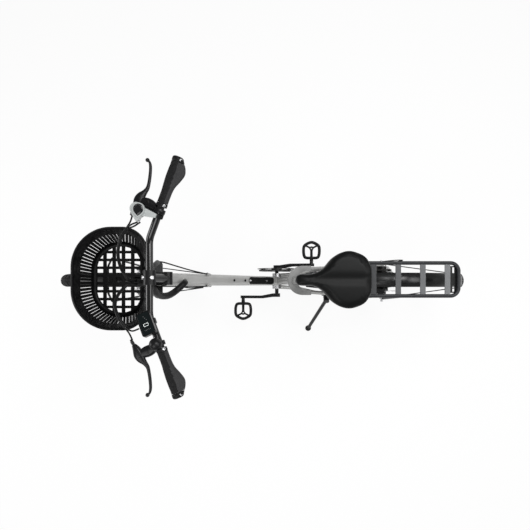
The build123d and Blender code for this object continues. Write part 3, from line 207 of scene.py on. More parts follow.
def bumped(tree, shader, layers):
    """Stacks bump layers, each a height socket with its strength and depth."""
    normal = None
    for height, strength, depth in layers:
        node = add_node(tree, "Bump", Height=height, Strength=strength, Distance=depth)
        if normal is not None:
            tree.links.new(normal, node.inputs["Normal"])
        normal = node.outputs["Normal"]
    tree.links.new(normal, shader.inputs["Normal"])


def edge_mask(tree):
    """Bright along sharp edges, where a bevelled normal leaves the true one."""
    bevel = add_node(tree, "Bevel", {"samples": 4}, Radius=WEAR_RADIUS).outputs["Normal"]
    true = add_node(tree, "NewGeometry").outputs["Normal"]
    level = combined(tree, "DOT_PRODUCT", bevel, true, "VectorMath")
    return mapped(tree, level, 1, 0, 1 - WEAR_SHARPNESS, 1)


def cells(tree, scale, feature="DISTANCE_TO_EDGE", **values):
    """The distance to a cell pattern's edges or, as F1, to its cells' middles."""
    node = add_node(tree, "TexVoronoi", {"feature": feature}, Scale=scale, **values)
    feed(tree, node, {"Vector": object_points(tree)})
    return node.outputs["Distance"]


def shaded(color, share):
    return tuple(channel * share for channel in color)


def clouded(tree, scale, color, dark, bright):
    """A colour that drifts between a darker and a brighter share of itself."""
    return mixed(tree, mapped(tree, noise(tree, scale, 4), 0, 1), shaded(color, dark), shaded(color, bright))


def finish(tree, shader, color, rough, metal, coat, grain, tone, wear=None, gloss=0.15):
    """A moulded or painted surface: cloudy tone, fine speckle, uneven gloss, grain and optional worn edges."""
    base = clouded(tree, 14, color, 1 - tone, 1 + tone)
    speckle = mapped(tree, noise(tree, grain[0], 2), 0, 1)
    base = mixed(tree, mapped(tree, speckle, 0, tone, 0, 1), base, shaded(color, 1.6))
    if wear:
        patches = mapped(tree, noise(tree, 120, 5), 0, 0.7, 0.4, 0.7)
        base = mixed(tree, combined(tree, "MULTIPLY", edge_mask(tree), patches), base, wear)
    feed(tree, shader, {
        "Base Color": base, "Roughness": mapped(tree, noise(tree, 45, 5), rough * 0.85, rough * 1.15),
        "Metallic": metal, "Coat Weight": coat, "Coat Roughness": COAT_ROUGHNESS, "Specular IOR Level": gloss,
    })
    bumped(tree, shader, [(noise(tree, grain[0], 2), grain[1], grain[2])])


def leather(tree, shader, color):
    """Leatherette: cells with fine creases between them and a soft sheen."""
    creases = cells(tree, LEATHER_CELLS)
    feed(tree, shader, {
        "Base Color": clouded(tree, 18, color, 0.8, 1.25), "Roughness": mapped(tree, creases, 0.5, 0.36, 0, 0.3),
        "Sheen Weight": 0.01, "Specular IOR Level": 0.13,
    })
    bumped(tree, shader, [(creases, 0.25, 0.0006), (noise(tree, 90, 4), 0.08, 0.001)])


def brushed(tree, shader, color, rough, stretch=DRAWN_LINES):
    """Bare metal with fine drawn lines."""
    points = add_node(tree, "Mapping", Vector=object_points(tree), Scale=stretch).outputs["Vector"]
    lines = noise(tree, 1, 4, points)
    feed(tree, shader, {
        "Base Color": clouded(tree, 25, color, 0.86, 1.08),
        "Roughness": mapped(tree, lines, rough * 0.8, rough * 1.3), "Metallic": 1,
    })
    bumped(tree, shader, [(lines, 0.06, 0.0002)])


def pebbled(tree, shader, color, rough, cell, depth):
    """Moulded rubber with raised dots, its colour lighter on the dots and darker between them: painted light and
    shade on the relief.
    """
    height = mapped(tree, cells(tree, 1 / cell, "F1", Randomness=0.25), 1, 0, 0.1, 0.45)
    feed(tree, shader, {
        # Painted light on the dots' tops and painted shade in the hollows between them
        "Base Color": mixed(tree, height, shaded(color, 0.7), shaded(color, 1.3)),
        "Roughness": mapped(tree, noise(tree, 60, 4), rough * 0.9, rough * 1.1), "Specular IOR Level": 0.2,
    })
    bumped(tree, shader, [(height, 0.5, depth), (noise(tree, 1500, 2), 0.08, 0.0002)])


def glowing(tree, shader, color, strength):
    """A mark that gives off light of its own; on the gear window's scale, which has no lamp, this is painted glow."""
    feed(tree, shader, {"Base Color": (*color, 1), "Emission Color": (*color, 1), "Emission Strength": strength})


def lens(tree, shader, color, ribs):
    """Coloured clear plastic with moulded ribs, darker along the ribs' edges: painted shade in the creases between
    them.
    """
    pattern = cells(tree, ribs)
    # Darker near the ribs' edges: painted shade in the creases
    base = mixed(tree, mapped(tree, pattern, 0, 1, 0, 0.4), shaded(color, 0.6), color)
    feed(tree, shader, {"Base Color": base, "Roughness": 0.12, "Coat Weight": 1})
    bumped(tree, shader, [(pattern, 0.4, 0.002)])


# The floor lies just under the road
FLOOR_GLOW = 0.9
FLOOR_SIZE = 30.0
FLOOR_DROP = 0.0005
FLOOR_GREY = 0.86


def floor_finish(tree, shader):
    """Pale and even to the camera and in reflections, with the object's shadow kept faint."""
    feed(tree, shader, {"Base Color": (FLOOR_GREY, FLOOR_GREY, FLOOR_GREY, 1), "Roughness": 0.9})
    white = add_node(tree, "Emission", Color=(1, 1, 1, 1), Strength=1)
    path = add_node(tree, "LightPath")
    seen = path.outputs["Is Camera Ray"]
    for ray in ("Is Glossy Ray", "Is Transmission Ray"):
        seen = combined(tree, "MAXIMUM", seen, path.outputs[ray])
    blend = add_node(tree, "MixShader")
    share = combined(tree, "MULTIPLY", seen, FLOOR_GLOW)
    feed(tree, blend, {0: share, 1: shader.outputs["BSDF"], 2: white.outputs["Emission"]})
    tree.links.new(blend.outputs["Shader"], tree.nodes["Material Output"].inputs["Surface"])


def make_floor():
    mesh = bpy.data.meshes.new("floor")
    half = FLOOR_SIZE / 2
    mesh.from_pydata([(-half, -half, 0), (half, -half, 0), (half, half, 0), (-half, half, 0)], [], [(0, 1, 2, 3)])
    mesh.materials.append(material("floor", floor_finish))
    floor = new_object("floor", mesh)
    floor.location.z = -FLOOR_DROP


SILVER_WORN = (0.75, 0.75, 0.74)
BARE_WORN = (0.2, 0.2, 0.2)
# Columns: colour, roughness, metal, coat, grain (scale, strength, depth), unevenness of tone, worn colour, gloss
FINISHES = {
    "frame_paint": ((0.42, 0.42, 0.412), 0.36, 0.45, 0.1, (2600, 0.04, 0.0001), 0.06, SILVER_WORN, 0.5),
    "dark_alloy": ((0.005, 0.005, 0.0055), 0.34, 0, 0, (1800, 0.06, 0.0001), 0.15, BARE_WORN, 0.2),
    "rack_paint": ((0.022, 0.023, 0.025), 0.42, 0.2, 0, (1600, 0.1, 0.0002), 0.1, BARE_WORN, 0.2),
    "slat_paint": ((0.13, 0.133, 0.137), 0.42, 0.2, 0, (1800, 0.08, 0.0002), 0.08),
    "guard_gloss": ((0.003, 0.003, 0.0033), 0.32, 0, 0, (700, 0.015, 0.0003), 0.1, None, 0.5),
    "display_gloss": ((0.003, 0.003, 0.0035), 0.14, 0, 0, (1500, 0.02, 0.0001), 0.1, None, 0.25),
    "lever_paint": ((0.004, 0.004, 0.0045), 0.34, 0, 0, (1600, 0.06, 0.0001), 0.12, BARE_WORN, 0.2),
    "motor_black": ((0.006, 0.006, 0.0065), 0.42, 0.1, 0, (1300, 0.1, 0.0002), 0.12, None, 0.2),
    "crank_black": ((0.004, 0.004, 0.0045), 0.34, 0, 0, (1800, 0.05, 0.0001), 0.12, BARE_WORN, 0.2),
    "pedal_black": ((0.005, 0.005, 0.0053), 0.5, 0, 0, (1100, 0.22, 0.0003), 0.15),
    "black_plastic": ((0.004, 0.0043, 0.0043), 0.46, 0, 0, (1400, 0.16, 0.0002), 0.14),
    "basket_plastic": ((0.004, 0.004, 0.0043), 0.45, 0, 0, (1100, 0.2, 0.0002), 0.16),
    "cable_jacket": ((0.004, 0.004, 0.0043), 0.42, 0, 0, (1700, 0.08, 0.0001), 0.12),
    "tyre": ((0.008, 0.008, 0.008), 0.75, 0, 0, (900, 0.25, 0.0003), 0.2),
    # The stay yoke's finish is the frame's paint made darker and duller: painted shade on the yoke under the saddle
    "yoke_painted_shade": ((0.2, 0.2, 0.197), 0.5, 0.1, 0, (900, 0.3, 0.0004), 0.2, None, 0.3),
    "bar_gloss": ((0.003, 0.003, 0.0033), 0.14, 0, 0, (1500, 0.02, 0.0001), 0.1, None, 0.5),
    "shifter_silver": ((0.42, 0.44, 0.435), 0.32, 0.35, 0.1, (2000, 0.05, 0.0001), 0.06, None, 0.5),
    "window": ((0.006, 0.0065, 0.007), 0.16, 0, 0.2, (900, 0.06, 0.0004), 0.3, None, 0.25),
    "screen_glass": ((0.002, 0.004, 0.0045), 0.08, 0, 0, (600, 0.01, 0.0001), 0.2, None, 0.25),
}
materials = {name: material(name, finish, *row) for name, row in FINISHES.items()}
# The others, each by its maker and that maker's values
OTHERS = {
    "bare_alloy": (brushed, (0.6, 0.61, 0.62), 0.34),
    "steel": (brushed, (0.5, 0.5, 0.51), 0.34),
    "chain_steel": (brushed, (0.03, 0.0295, 0.029), 0.36, (300, 900, 300)),
    "grip_rubber": (pebbled, (0.007, 0.007, 0.0073), 0.7, 0.0026, 0.0005),
    # palm_sheen_rubber is the grip's rubber made lighter: a painted sheen on the palm rest's crest
    "palm_sheen_rubber": (pebbled, (0.038, 0.038, 0.039), 0.75, 0.0018, 0.0004),
    "saddle_cover": (leather, (0.002, 0.0022, 0.0022)),
    "screen_mark": (glowing, (0.75, 0.8, 0.78), 0.35),
    # faint_glow_mark glows faintly: on the gear window's scale this is painted glow, as the shifter has no lamp
    "faint_glow_mark": (glowing, (0.12, 0.12, 0.12), 0.05),
    "red_lens": (lens, (0.35, 0.008, 0.006), 260),
    "clear_lens": (lens, (0.5, 0.52, 0.53), 180),
}
for name, row in OTHERS.items():
    materials[name] = material(name, *row)
# Painted shade on the rack slats: the darker colour near the saddle, and the run ahead over which it fades in
SLAT_PAINTED_SHADE = (0.035, 0.036, 0.038)
SLAT_PAINTED_SHADE_RUN = (-0.64, -0.33)


def paint_slat_shade():
    """Darkens the rack slats towards the saddle: painted shade, in place of the saddle's shadow and the fall of light
    along the rack.
    """
    tree = materials["slat_paint"].node_tree
    base = tree.nodes["Principled BSDF"].inputs["Base Color"]
    plain = base.links[0].from_socket
    along = add_node(tree, "SeparateXYZ", Vector=object_points(tree)).outputs["X"]
    rear, front = (bike(x, 0, RACK_Z).x for x in SLAT_PAINTED_SHADE_RUN)
    tree.links.new(mixed(tree, mapped(tree, along, 0, 1, rear, front), plain, SLAT_PAINTED_SHADE), base)


def dress_nodes():
    """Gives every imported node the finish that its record's slot names."""
    for part in frame["record"]["subparts"]:
        node = nodes[part["node"]]
        node.data.materials.clear()
        node.data.materials.append(materials[part["material_slot"]])


# Mesh helpers for the added pieces
def frame_at(place, axis, aside=None):
    """A frame in the row with its Z along an axis and its X as near aside as that allows."""
    z = Vector(axis).normalized()
    x = Vector(aside or ahead)
    x = x - z * x.dot(z)
    if x.length < 0.001:
        x = left - z * left.dot(z)
    x.normalize()
    return axes_at(place, x, z.cross(x), z)


def full_turn(steps):
    """Angles in even steps round a circle."""
    return [2 * pi * i / steps for i in range(steps)]


def ring(place, radius, height, steps=24, corners=0):
    """A level loop of points round a frame's Z axis, round or with corners."""
    points = []
    for angle in full_turn(steps):
        reach = radius
        if corners:
            part = pi / corners
            reach *= cos(part) / cos(angle % (2 * part) - part)
        points.append(place @ Vector((reach * cos(angle), reach * sin(angle), height)))
    return points


def skin(bm, loops, around=False, mark=0):
    """Joins closed loops of points into a surface, capped at its ends or joined round to its first loop."""
    rows = [[bm.verts.new(point) for point in loop] for loop in loops]
    pairs = list(zip(rows, rows[1:]))
    if around:
        pairs.append((rows[-1], rows[0]))
    made = []
    for low, high in pairs:
        for i in range(len(low)):
            j = (i + 1) % len(low)
            made.append(bm.faces.new((low[i], low[j], high[j], high[i])))
    if not around:
        made += [bm.faces.new(rows[0][::-1]), bm.faces.new(rows[-1])]
    for face in made:
        face.material_index = mark
    return made


def turned(bm, place, profile, steps=24, mark=0):
    """A solid turned about a frame's Z axis from (radius, height) points."""
    return skin(bm, [ring(place, radius, height, steps) for radius, height in profile], mark=mark)


def socket_bolt(bm, place, radius, height, mark=0):
    """A round bolt head with a six-sided socket."""
    loops = [ring(place, radius, -0.3 * height), ring(place, radius, 0.7 * height)]
    loops += [ring(place, 0.93 * radius, 0.92 * height), ring(place, 0.82 * radius, height)]
    loops += [ring(place, 0.52 * radius, height, 24, 6), ring(place, 0.48 * radius, 0.35 * height, 24, 6)]
    skin(bm, loops, mark=mark)


CORNER_STEPS = 5
PLATE_SOFT = 0.4


def plate(bm, place, width, length, corner, low, high, mark=0):
    """A flat plate with round corners in a frame's XY plane, its upper edge softened."""
    def outline(inset, height):
        points = []
        for quarter, (sx, sy) in enumerate(((1, 1), (-1, 1), (-1, -1), (1, -1))):
            cx, cy = sx * (width / 2 - corner), sy * (length / 2 - corner)
            for k in range(CORNER_STEPS + 1):
                angle = pi / 2 * (quarter + k / CORNER_STEPS)
                reach = corner - inset
                points.append(place @ Vector((cx + reach * cos(angle), cy + reach * sin(angle), height)))
        return points

    edge = min(corner, high - low) * PLATE_SOFT
    skin(bm, [outline(0, low), outline(0, high - edge), outline(edge, high)], mark=mark)


SHARP_ANGLE = 40


def piece(name, bm, body, slot, *finishes):
    """Makes a piece of a built mesh, with its finishes, or its slot's own, and the body that it rides on."""
    bmesh.ops.recalc_face_normals(bm, faces=bm.faces)
    mesh = bpy.data.meshes.new(name)
    bm.to_mesh(mesh)
    bm.free()
    mesh.shade_smooth()
    for made_of in finishes or (slot,):
        mesh.materials.append(materials[made_of])
    mesh.set_sharp_from_angle(angle=radians(SHARP_ANGLE))
    made = new_object(name, mesh)
    if body:
        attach(made, body)
    return made


trees = {}


def landing(node, start, direction):
    """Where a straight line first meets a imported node, and the node's normal there."""
    if node not in trees:
        mesh = nodes[node].data
        corners = [vertex.co for vertex in mesh.vertices]
        trees[node] = BVHTree.FromPolygons(corners, [face.vertices[:] for face in mesh.polygons])
    spot, normal, _, _ = trees[node].ray_cast(start, direction)
    return spot, normal


# Tyres: carcass and tread, on the wheels' own axles
TYRE_R = 0.335
TYRE_SECTION_R = 0.027
TYRE_BEAD_ANGLE = 143
TREAD_BLOCKS = 56
TREAD_DEPTH = 0.0019
# Shares of a block's pitch at which a tread column stands, the left groove between two of them and then the right
TREAD_COLUMNS = (0.0, 0.07, 0.23, 0.3, 0.5, 0.57, 0.73, 0.8)
TREAD_ANGLES = (0, 5, 9.5, 10.5, 14.5, 15.5, 19, 21, 30, 40, 50, 57, 59, 62, 64, 66, 68, 76, 86, 97, 110, 124, 136)
# Angles round the section
CENTRE_GROOVE = (10, 15)
CROSS_GROOVES = (20, 58)
SHOULDER_GROOVE = (63, 67)
SHOULDER_SHARE = 0.4
LEFT_COLUMNS = (1, 2)
RIGHT_COLUMNS = (5, 6)
# Valves. Columns: radius, height over the rim
RIM_INNER_R = 0.264
VALVE_STEM = ((0.005, -0.001), (0.005, 0.003), (0.003, 0.005), (0.003, 0.024))
VALVE_CAP = ((0.0045, 0.024), (0.0047, 0.026), (0.0047, 0.036), (0.0035, 0.039))


def tread_depth(angle, column):
    """How far the tread lies under the tyre's full radius at an angle round its section."""
    size = abs(angle)
    if CENTRE_GROOVE[0] < size < CENTRE_GROOVE[1]:
        return TREAD_DEPTH
    if CROSS_GROOVES[0] < size < CROSS_GROOVES[1]:
        groove = LEFT_COLUMNS if angle > 0 else RIGHT_COLUMNS
        return TREAD_DEPTH if column in groove else 0
    if SHOULDER_GROOVE[0] < size < SHOULDER_GROOVE[1]:
        return TREAD_DEPTH * SHOULDER_SHARE
    return 0


def make_tyre(end, centre):
    half = [*TREAD_ANGLES, TYRE_BEAD_ANGLE]
    angles = [-angle for angle in reversed(half[1:])] + half
    loops = []
    for block in range(TREAD_BLOCKS):
        for column, share in enumerate(TREAD_COLUMNS):
            turn = 2 * pi * (block + share) / TREAD_BLOCKS
            out = ahead * cos(turn) + up * sin(turn)
            loop = []
            for angle in angles:
                reach = TYRE_SECTION_R - tread_depth(angle, column)
                radius = TYRE_R - TYRE_SECTION_R + reach * cos(radians(angle))
                loop.append(centre + out * radius + left * (reach * sin(radians(angle))))
            loops.append(loop)
    bm = bmesh.new()
    skin(bm, loops, around=True)
    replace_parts(piece(f"{end}_tyre_tread", bm, f"{end}_wheel", "tyre"), f"{end}_tyre")


def make_valve(end, centre, degrees):
    """A valve stem with its cap, pointing in from the rim."""
    inward = -(ahead * cos(radians(degrees)) + up * sin(radians(degrees)))
    bm = bmesh.new()
    base = frame_at(centre - inward * RIM_INNER_R, inward)
    turned(bm, base, VALVE_STEM)
    turned(bm, base, VALVE_CAP, mark=1)
    piece(f"{end}_valve", bm, f"{end}_wheel", "steel", "steel", "black_plastic")


# Saddle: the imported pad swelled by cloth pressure, with a shallow channel along its middle
SADDLE_VOXEL = 0.0045
SADDLE_PRESSURE = 4.0
SADDLE_CAP = 0.006
CLOTH_FRAMES = 20
SMOOTH_FACTOR = 0.5
SMOOTH_ROUNDS = 3
SADDLE_LONGER = 1.02
SADDLE_WIDER = 1.045
SADDLE_ASIDE = 0.003
CHANNEL_DEPTH = 0.005
CHANNEL_WIDTH = 0.016
CROWN = 0.35


def applied(item):
    """Applies an object's modifiers, and returns its new mesh."""
    graph = bpy.context.evaluated_depsgraph_get()
    mesh = bpy.data.meshes.new_from_object(item.evaluated_get(graph))
    item.modifiers.clear()
    item.data = mesh
    return mesh


def swelled(item):
    """Swells a closed pad by cloth pressure, each point held near where it began."""
    start = [vertex.co.copy() for vertex in item.data.vertices]
    cloth = item.modifiers.new("cloth", "CLOTH")
    cloth.settings.use_pressure = True
    cloth.settings.uniform_pressure_force = SADDLE_PRESSURE
    cloth.settings.effector_weights.gravity = 0
    cloth.collision_settings.use_collision = False
    for number in range(1, CLOTH_FRAMES + 1):
        bpy.context.scene.frame_set(number)
    mesh = applied(item)
    bpy.context.scene.frame_set(1)
    for vertex, place in zip(mesh.vertices, start):
        move = vertex.co - place
        if move.length > SADDLE_CAP:
            vertex.co = place + move.normalized() * SADDLE_CAP


def make_saddle():
    mesh = nodes["saddle"].data.copy()
    low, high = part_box("saddle")
    middle = (low + high) / 2
    fuller = Matrix.Scale(SADDLE_LONGER, 4, ahead) @ Matrix.Scale(SADDLE_WIDER, 4, left)
    mesh.transform(Matrix.Translation(middle + left * SADDLE_ASIDE) @ fuller @ Matrix.Translation(-middle))
    pad = new_object("saddle_pad", mesh)
    remesh = pad.modifiers.new("remesh", "REMESH")
    remesh.mode = "VOXEL"
    remesh.voxel_size = SADDLE_VOXEL
    applied(pad)
    swelled(pad)
    shape_saddle(pad.data)
    smooth = pad.modifiers.new("smooth", "SMOOTH")
    smooth.factor = SMOOTH_FACTOR
    smooth.iterations = SMOOTH_ROUNDS
    finer = pad.modifiers.new("finer", "SUBSURF")
    finer.levels = 1
    mesh = applied(pad)
    mesh.shade_smooth()
    mesh.materials.clear()
    mesh.materials.append(materials["saddle_cover"])
    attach(pad, "frame")
    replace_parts(pad, "saddle")


def shape_saddle(mesh):
    """Rounds the pad's top off to its sides and presses a channel into it."""
    heights = [to_bike(vertex.co).z for vertex in mesh.vertices]
    base, top = min(heights), max(heights)
    for vertex, height in zip(mesh.vertices, heights):
        share = (height - base) / (top - base)
        place = to_bike(vertex.co)
        press = CHANNEL_DEPTH * exp(-((place.y / CHANNEL_WIDTH) ** 2))
        crown = CROWN * place.y**2
        vertex.co -= up * (press + crown) * max(0.0, share * 2 - 1)


# Cable loom: the imported loom, welded and with its long edges cut finer
LOOM_FINE = 0.007
LOOM_ROUNDS = 7
LOOM_WELD = 0.00002


def make_loom():
    bm = bmesh.new()
    bm.from_mesh(nodes["cable_loom"].data)
    bmesh.ops.remove_doubles(bm, verts=bm.verts, dist=LOOM_WELD)
    for _ in range(LOOM_ROUNDS):
        long = [edge for edge in bm.edges if edge.calc_length() > LOOM_FINE]
        if not long:
            break
        bmesh.ops.subdivide_edges(bm, edges=long, cuts=1)
    bmesh.ops.triangulate(bm, faces=bm.faces)
    loom = piece("loom", bm, None, "cable_jacket")
    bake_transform(loom)
    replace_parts(loom, "cable_loom")


# Cockpit: places of the left side, mirrored for the right
GRIP_INNER = (0.363, 0.2, 1.108)
GRIP_OUTER = (0.306, 0.35, 1.1225)
BAR_BEND = (0.402, 0.115, 1.08)
GRIP_START = 0.007
GRIP_STEP = 0.001
LOCK_RING = 0.012
END_CAP = 0.016
GRIP_RIB = 0.0035
GRIP_RIB_HALF = 0.0004
GRIP_POINTS = 40
GRIP_GAP = 0.0003
GRIP_SIZE = 0.99
# Where the painted palm sheen lies: its run along the grip, and how far to the rear a face must be
PALM_RUN = (0.1, 0.9)
PALM_REAR = 0.0085
# Columns: distance from the start, share of the grip's section
LOCK_PROFILE = ((0, 0.9), (0.001, 1.02), (LOCK_RING - 0.001, 1.02), (LOCK_RING, 0.93))
CAP_PROFILE = ((0.0005, 0.94), (0.0015, 1.0), (0.008, 1.0), (0.012, 0.95), (0.0148, 0.78), (0.016, 0.5))
LOCK_BOLT_TILT = 50
CAP_BOLT_TILT = 40
CAP_BOLT_BACK = 0.009
GRIP_BOLT_OUT = 0.0155
GRIP_BOLT = (0.0045, 0.0022)
# Columns: share of length, shift back, half width, half height
GRIP_TABLE = (
    (0.0, 0, 0.0165, 0.0165),
    (0.3, 0.001, 0.0165, 0.0155),
    (0.43, 0.002, 0.0188, 0.0148),
    (0.57, 0.006, 0.0238, 0.0138),
    (0.71, 0.0092, 0.0268, 0.013),
    (0.83, 0.0072, 0.0238, 0.0138),
    (0.94, 0.0014, 0.0182, 0.0155),
    (1.0, 0, 0.017, 0.0165),
)


def eased(table, share):
    """A row of a table at a share between its rows, on one smooth curve."""
    last = len(table) - 1
    number = next((i for i in range(last) if share <= table[i + 1][0]), last - 1)
    low, high = table[number], table[number + 1]
    before, after = table[max(0, number - 1)], table[min(last, number + 2)]
    span = high[0] - low[0]
    part = (share - low[0]) / span
    row = []
    for k in range(1, len(low)):
        rise = (high[k] - before[k]) / (high[0] - before[0]) * span
        fall = (after[k] - low[k]) / (after[0] - low[0]) * span
        square, cube = part**2, part**3
        row.append((2 * cube - 3 * square + 1) * low[k] + (cube - 2 * square + part) * rise
                   + (3 * square - 2 * cube) * high[k] + (cube - square) * fall)
    return row


def side_point(point, side):
    return bike(point[0], side * point[1], point[2])


def grip_axes(side):
    """Out along a grip, to its rear and up, as row directions, with the grip's length."""
    run = side_point(GRIP_OUTER, side) - side_point(GRIP_INNER, side)
    axis = run.normalized()
    rear = axis.cross(up).normalized() * -side
    return axis, rear, axis.cross(rear) * side, run.length


def grip_loop(side, along, size=1.0, flat=False):
    axis, rear, above, length = grip_axes(side)
    share = (along - GRIP_START) / (length - GRIP_START)
    shift, width, height = eased(GRIP_TABLE, min(1.0, max(0.0, share)))
    rib = 0 if flat else GRIP_RIB_HALF * (cos(2 * pi * along / GRIP_RIB) - 1)
    points = []
    for angle in full_turn(GRIP_POINTS):
        out = rear * (shift + (width * size + rib) * cos(angle)) + above * ((height * size + rib) * sin(angle))
        points.append(side_point(GRIP_INNER, side) + axis * along + out)
    return points


def make_grips():
    """Ribbed grips with a palm rest, a lock ring at the inner end and a round cap at the outer."""
    bm = bmesh.new()
    for side in (1, -1):
        axis, rear, above, length = grip_axes(side)
        inner = side_point(GRIP_INNER, side)
        skin(bm, [grip_loop(side, GRIP_START + along, size, True) for along, size in LOCK_PROFILE], mark=2)
        body_start = GRIP_START + LOCK_RING
        count = round((length - END_CAP - body_start) / GRIP_STEP)
        body = [grip_loop(side, body_start + GRIP_GAP + i * GRIP_STEP, GRIP_SIZE) for i in range(count)]
        for face in skin(bm, body):
            # Faces on the palm rest take the lighter rubber, which is painted sheen
            middle = face.calc_center_median() - inner
            if PALM_RUN[0] < middle.dot(axis) / length < PALM_RUN[1] and middle.dot(rear) > PALM_REAR:
                face.material_index = 1
        skin(bm, [grip_loop(side, length - END_CAP + along, size, True) for along, size in CAP_PROFILE], mark=3)
        for along, tilt in ((GRIP_START + LOCK_RING / 2, LOCK_BOLT_TILT), (length - CAP_BOLT_BACK, CAP_BOLT_TILT)):
            out = rear * cos(radians(tilt)) + above * sin(radians(tilt))
            socket_bolt(bm, frame_at(inner + axis * along + out * GRIP_BOLT_OUT, out, axis), *GRIP_BOLT, mark=4)
    finishes = ("grip_rubber", "palm_sheen_rubber", "dark_alloy", "black_plastic", "bare_alloy")
    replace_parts(piece("grip_pair", bm, "steering", "grip_rubber", *finishes), "grips")


# Bolts set into upper faces. Columns: body, node, place ahead, head's radius, head's height
TOP_BOLTS = (
    ("steering", "stem", 0.419, 0.0062, 0.004),
    ("steering", "stem", 0.391, 0.0062, 0.004),
    ("frame", "tube_cover", 0.118, 0.004, 0.0016),
    ("frame", "tube_cover", 0.048, 0.004, 0.0016),
)
# Rings of bolts. Columns: name, body, node, centre, radius, count, side, head's radius and height, phase
SIDE_BOLTS = (
    ("front_disc_bolts", "front_wheel", "front_brake_disc", front_axle, 0.0185, 6, 1, 0.003, 0.0018, 0),
    ("rear_disc_bolts", "rear_wheel", "rear_brake_disc", rear_axle, 0.0325, 6, 1, 0.003, 0.0018, 0),
    ("motor_bolts", "rear_wheel", "rear_hub_motor", rear_axle, 0.054, 10, 1, 0.003, 0.0018, 0.5),
    ("chainring_bolts", "crank", "chainring", bracket, 0.069, 5, -1, 0.0042, 0.0022, 0),
)
ABOVE_ALL = 1.3
BESIDE_ALL = 0.2


def top_bolts():
    """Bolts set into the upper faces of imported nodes, one piece for each body."""
    sets = {}
    for body, node, x, radius, height in TOP_BOLTS:
        spot, normal = landing(node, bike(x, 0, ABOVE_ALL), -up)
        if spot is not None:
            socket_bolt(sets.setdefault(body, bmesh.new()), frame_at(spot, normal), radius, height)
    for body, bm in sets.items():
        piece(f"{body}_bolts", bm, body, "steel")


def side_bolts(name, body, node, centre, radius, count, side, head, height, phase):
    """A ring of bolts on a node's left or right face round an axle."""
    bm = bmesh.new()
    for i in range(count):
        turn = 2 * pi * (i + phase) / count
        start = centre + (ahead * cos(turn) + up * sin(turn)) * radius + left * side * BESIDE_ALL
        spot, _ = landing(node, start, -left * side)
        if spot is not None:
            socket_bolt(bm, frame_at(spot, left * side), head, height)
    piece(name, bm, body, "steel")


# Display. The glass: width, length, corner, underside, top; its marks' columns: along, across, width, length
SCREEN_IN = 0.078
SCREEN_AHEAD = 0.01
SCREEN_RISE = 0.023
SCREEN_GLASS = (0.066, 0.036, 0.005, 0.0065, 0.0078)
SCREEN_FIGURE = (
    (-0.004, 0.007, 0.006, 0.0012), (-0.004, -0.007, 0.006, 0.0012),
    *((x, y, 0.0012, 0.006) for x in (-0.0078, -0.0002) for y in (-0.0036, 0.0036)),
)
SCREEN_FAINT = (
    *((0.01 + i * 0.006, -0.006 + i * 0.003, 0.0026, 0.0014) for i in range(3)),
    *((-0.02, -0.008 + i * 0.004, 0.0022, 0.0014) for i in range(5)),
)
SCREEN_MARK = (0.0004, 0.0076, 0.0081)


def make_screen():
    """The display's glass with a figure, a charge scale and a line of marks."""
    bend, inner = Vector(BAR_BEND), Vector(GRIP_INNER)
    axis = (inner - bend).normalized()
    across = Vector((axis.y, -axis.x, 0)).normalized()
    middle = inner - axis * SCREEN_IN + across * SCREEN_AHEAD + Vector((0, 0, SCREEN_RISE))
    face = axis.cross(-across).normalized()
    turn = (ahead * v.x + left * v.y + up * v.z for v in (-axis, face.cross(-axis), face))
    place = axes_at(bike(*middle), *turn)
    bm = bmesh.new()
    plate(bm, place, *SCREEN_GLASS)
    for mark, rows in ((1, SCREEN_FIGURE), (2, SCREEN_FAINT)):
        for x, y, width, length in rows:
            plate(bm, place @ Matrix.Translation((x, y, 0)), width, length, *SCREEN_MARK, mark=mark)
    piece("screen", bm, "steering", "display_gloss", "screen_glass", "screen_mark", "faint_glow_mark")


def drop_loop(place, radius, reach, height, steps=48):
    """A level loop round a frame's Z axis, drawn out to a point along its X axis."""
    touch = acos(radius / reach)
    points = []
    for angle in full_turn(steps):
        off = min(angle, 2 * pi - angle)
        out = radius / cos(touch - off) if off < touch else radius
        points.append(place @ Vector((out * cos(angle), out * sin(angle), height)))
    return points


# Gear window: its place, and its axis and point as shares of ahead, left and up
WINDOW_PLACE = (0.42, -0.1962, 1.1348)
WINDOW_AXIS = (0.032, 0.084, 0.995)
WINDOW_POINT = (0.11, 1, 0)
# Columns: radius, reach of the point, height
WINDOW_RIM = (
    (0.0176, 0.024, -0.009), (0.0188, 0.0262, -0.001), (0.0188, 0.0262, 0.0016),
    (0.0178, 0.0248, 0.0028), (0.0156, 0.0214, 0.0028), (0.0146, 0.02, 0.0014), (0.0146, 0.02, 0.0005),
)
WINDOW_DOME = (
    (0.0145, 0.0198, 0.0004), (0.0145, 0.0198, 0.0012), (0.0125, 0.0168, 0.0024),
    (0.008, 0.0104, 0.0032), (0.003, 0.0038, 0.0035),
)
# The scale's marks: count, first angle, step, radius, and a mark's width, length, corner, underside and top
SCALE_COUNT = 7
SCALE_FIRST = 105
SCALE_STEP = 25
SCALE_R = 0.0116
SCALE_MARK = (0.0024, 0.0007, 0.0003, 0.0022, 0.0031)


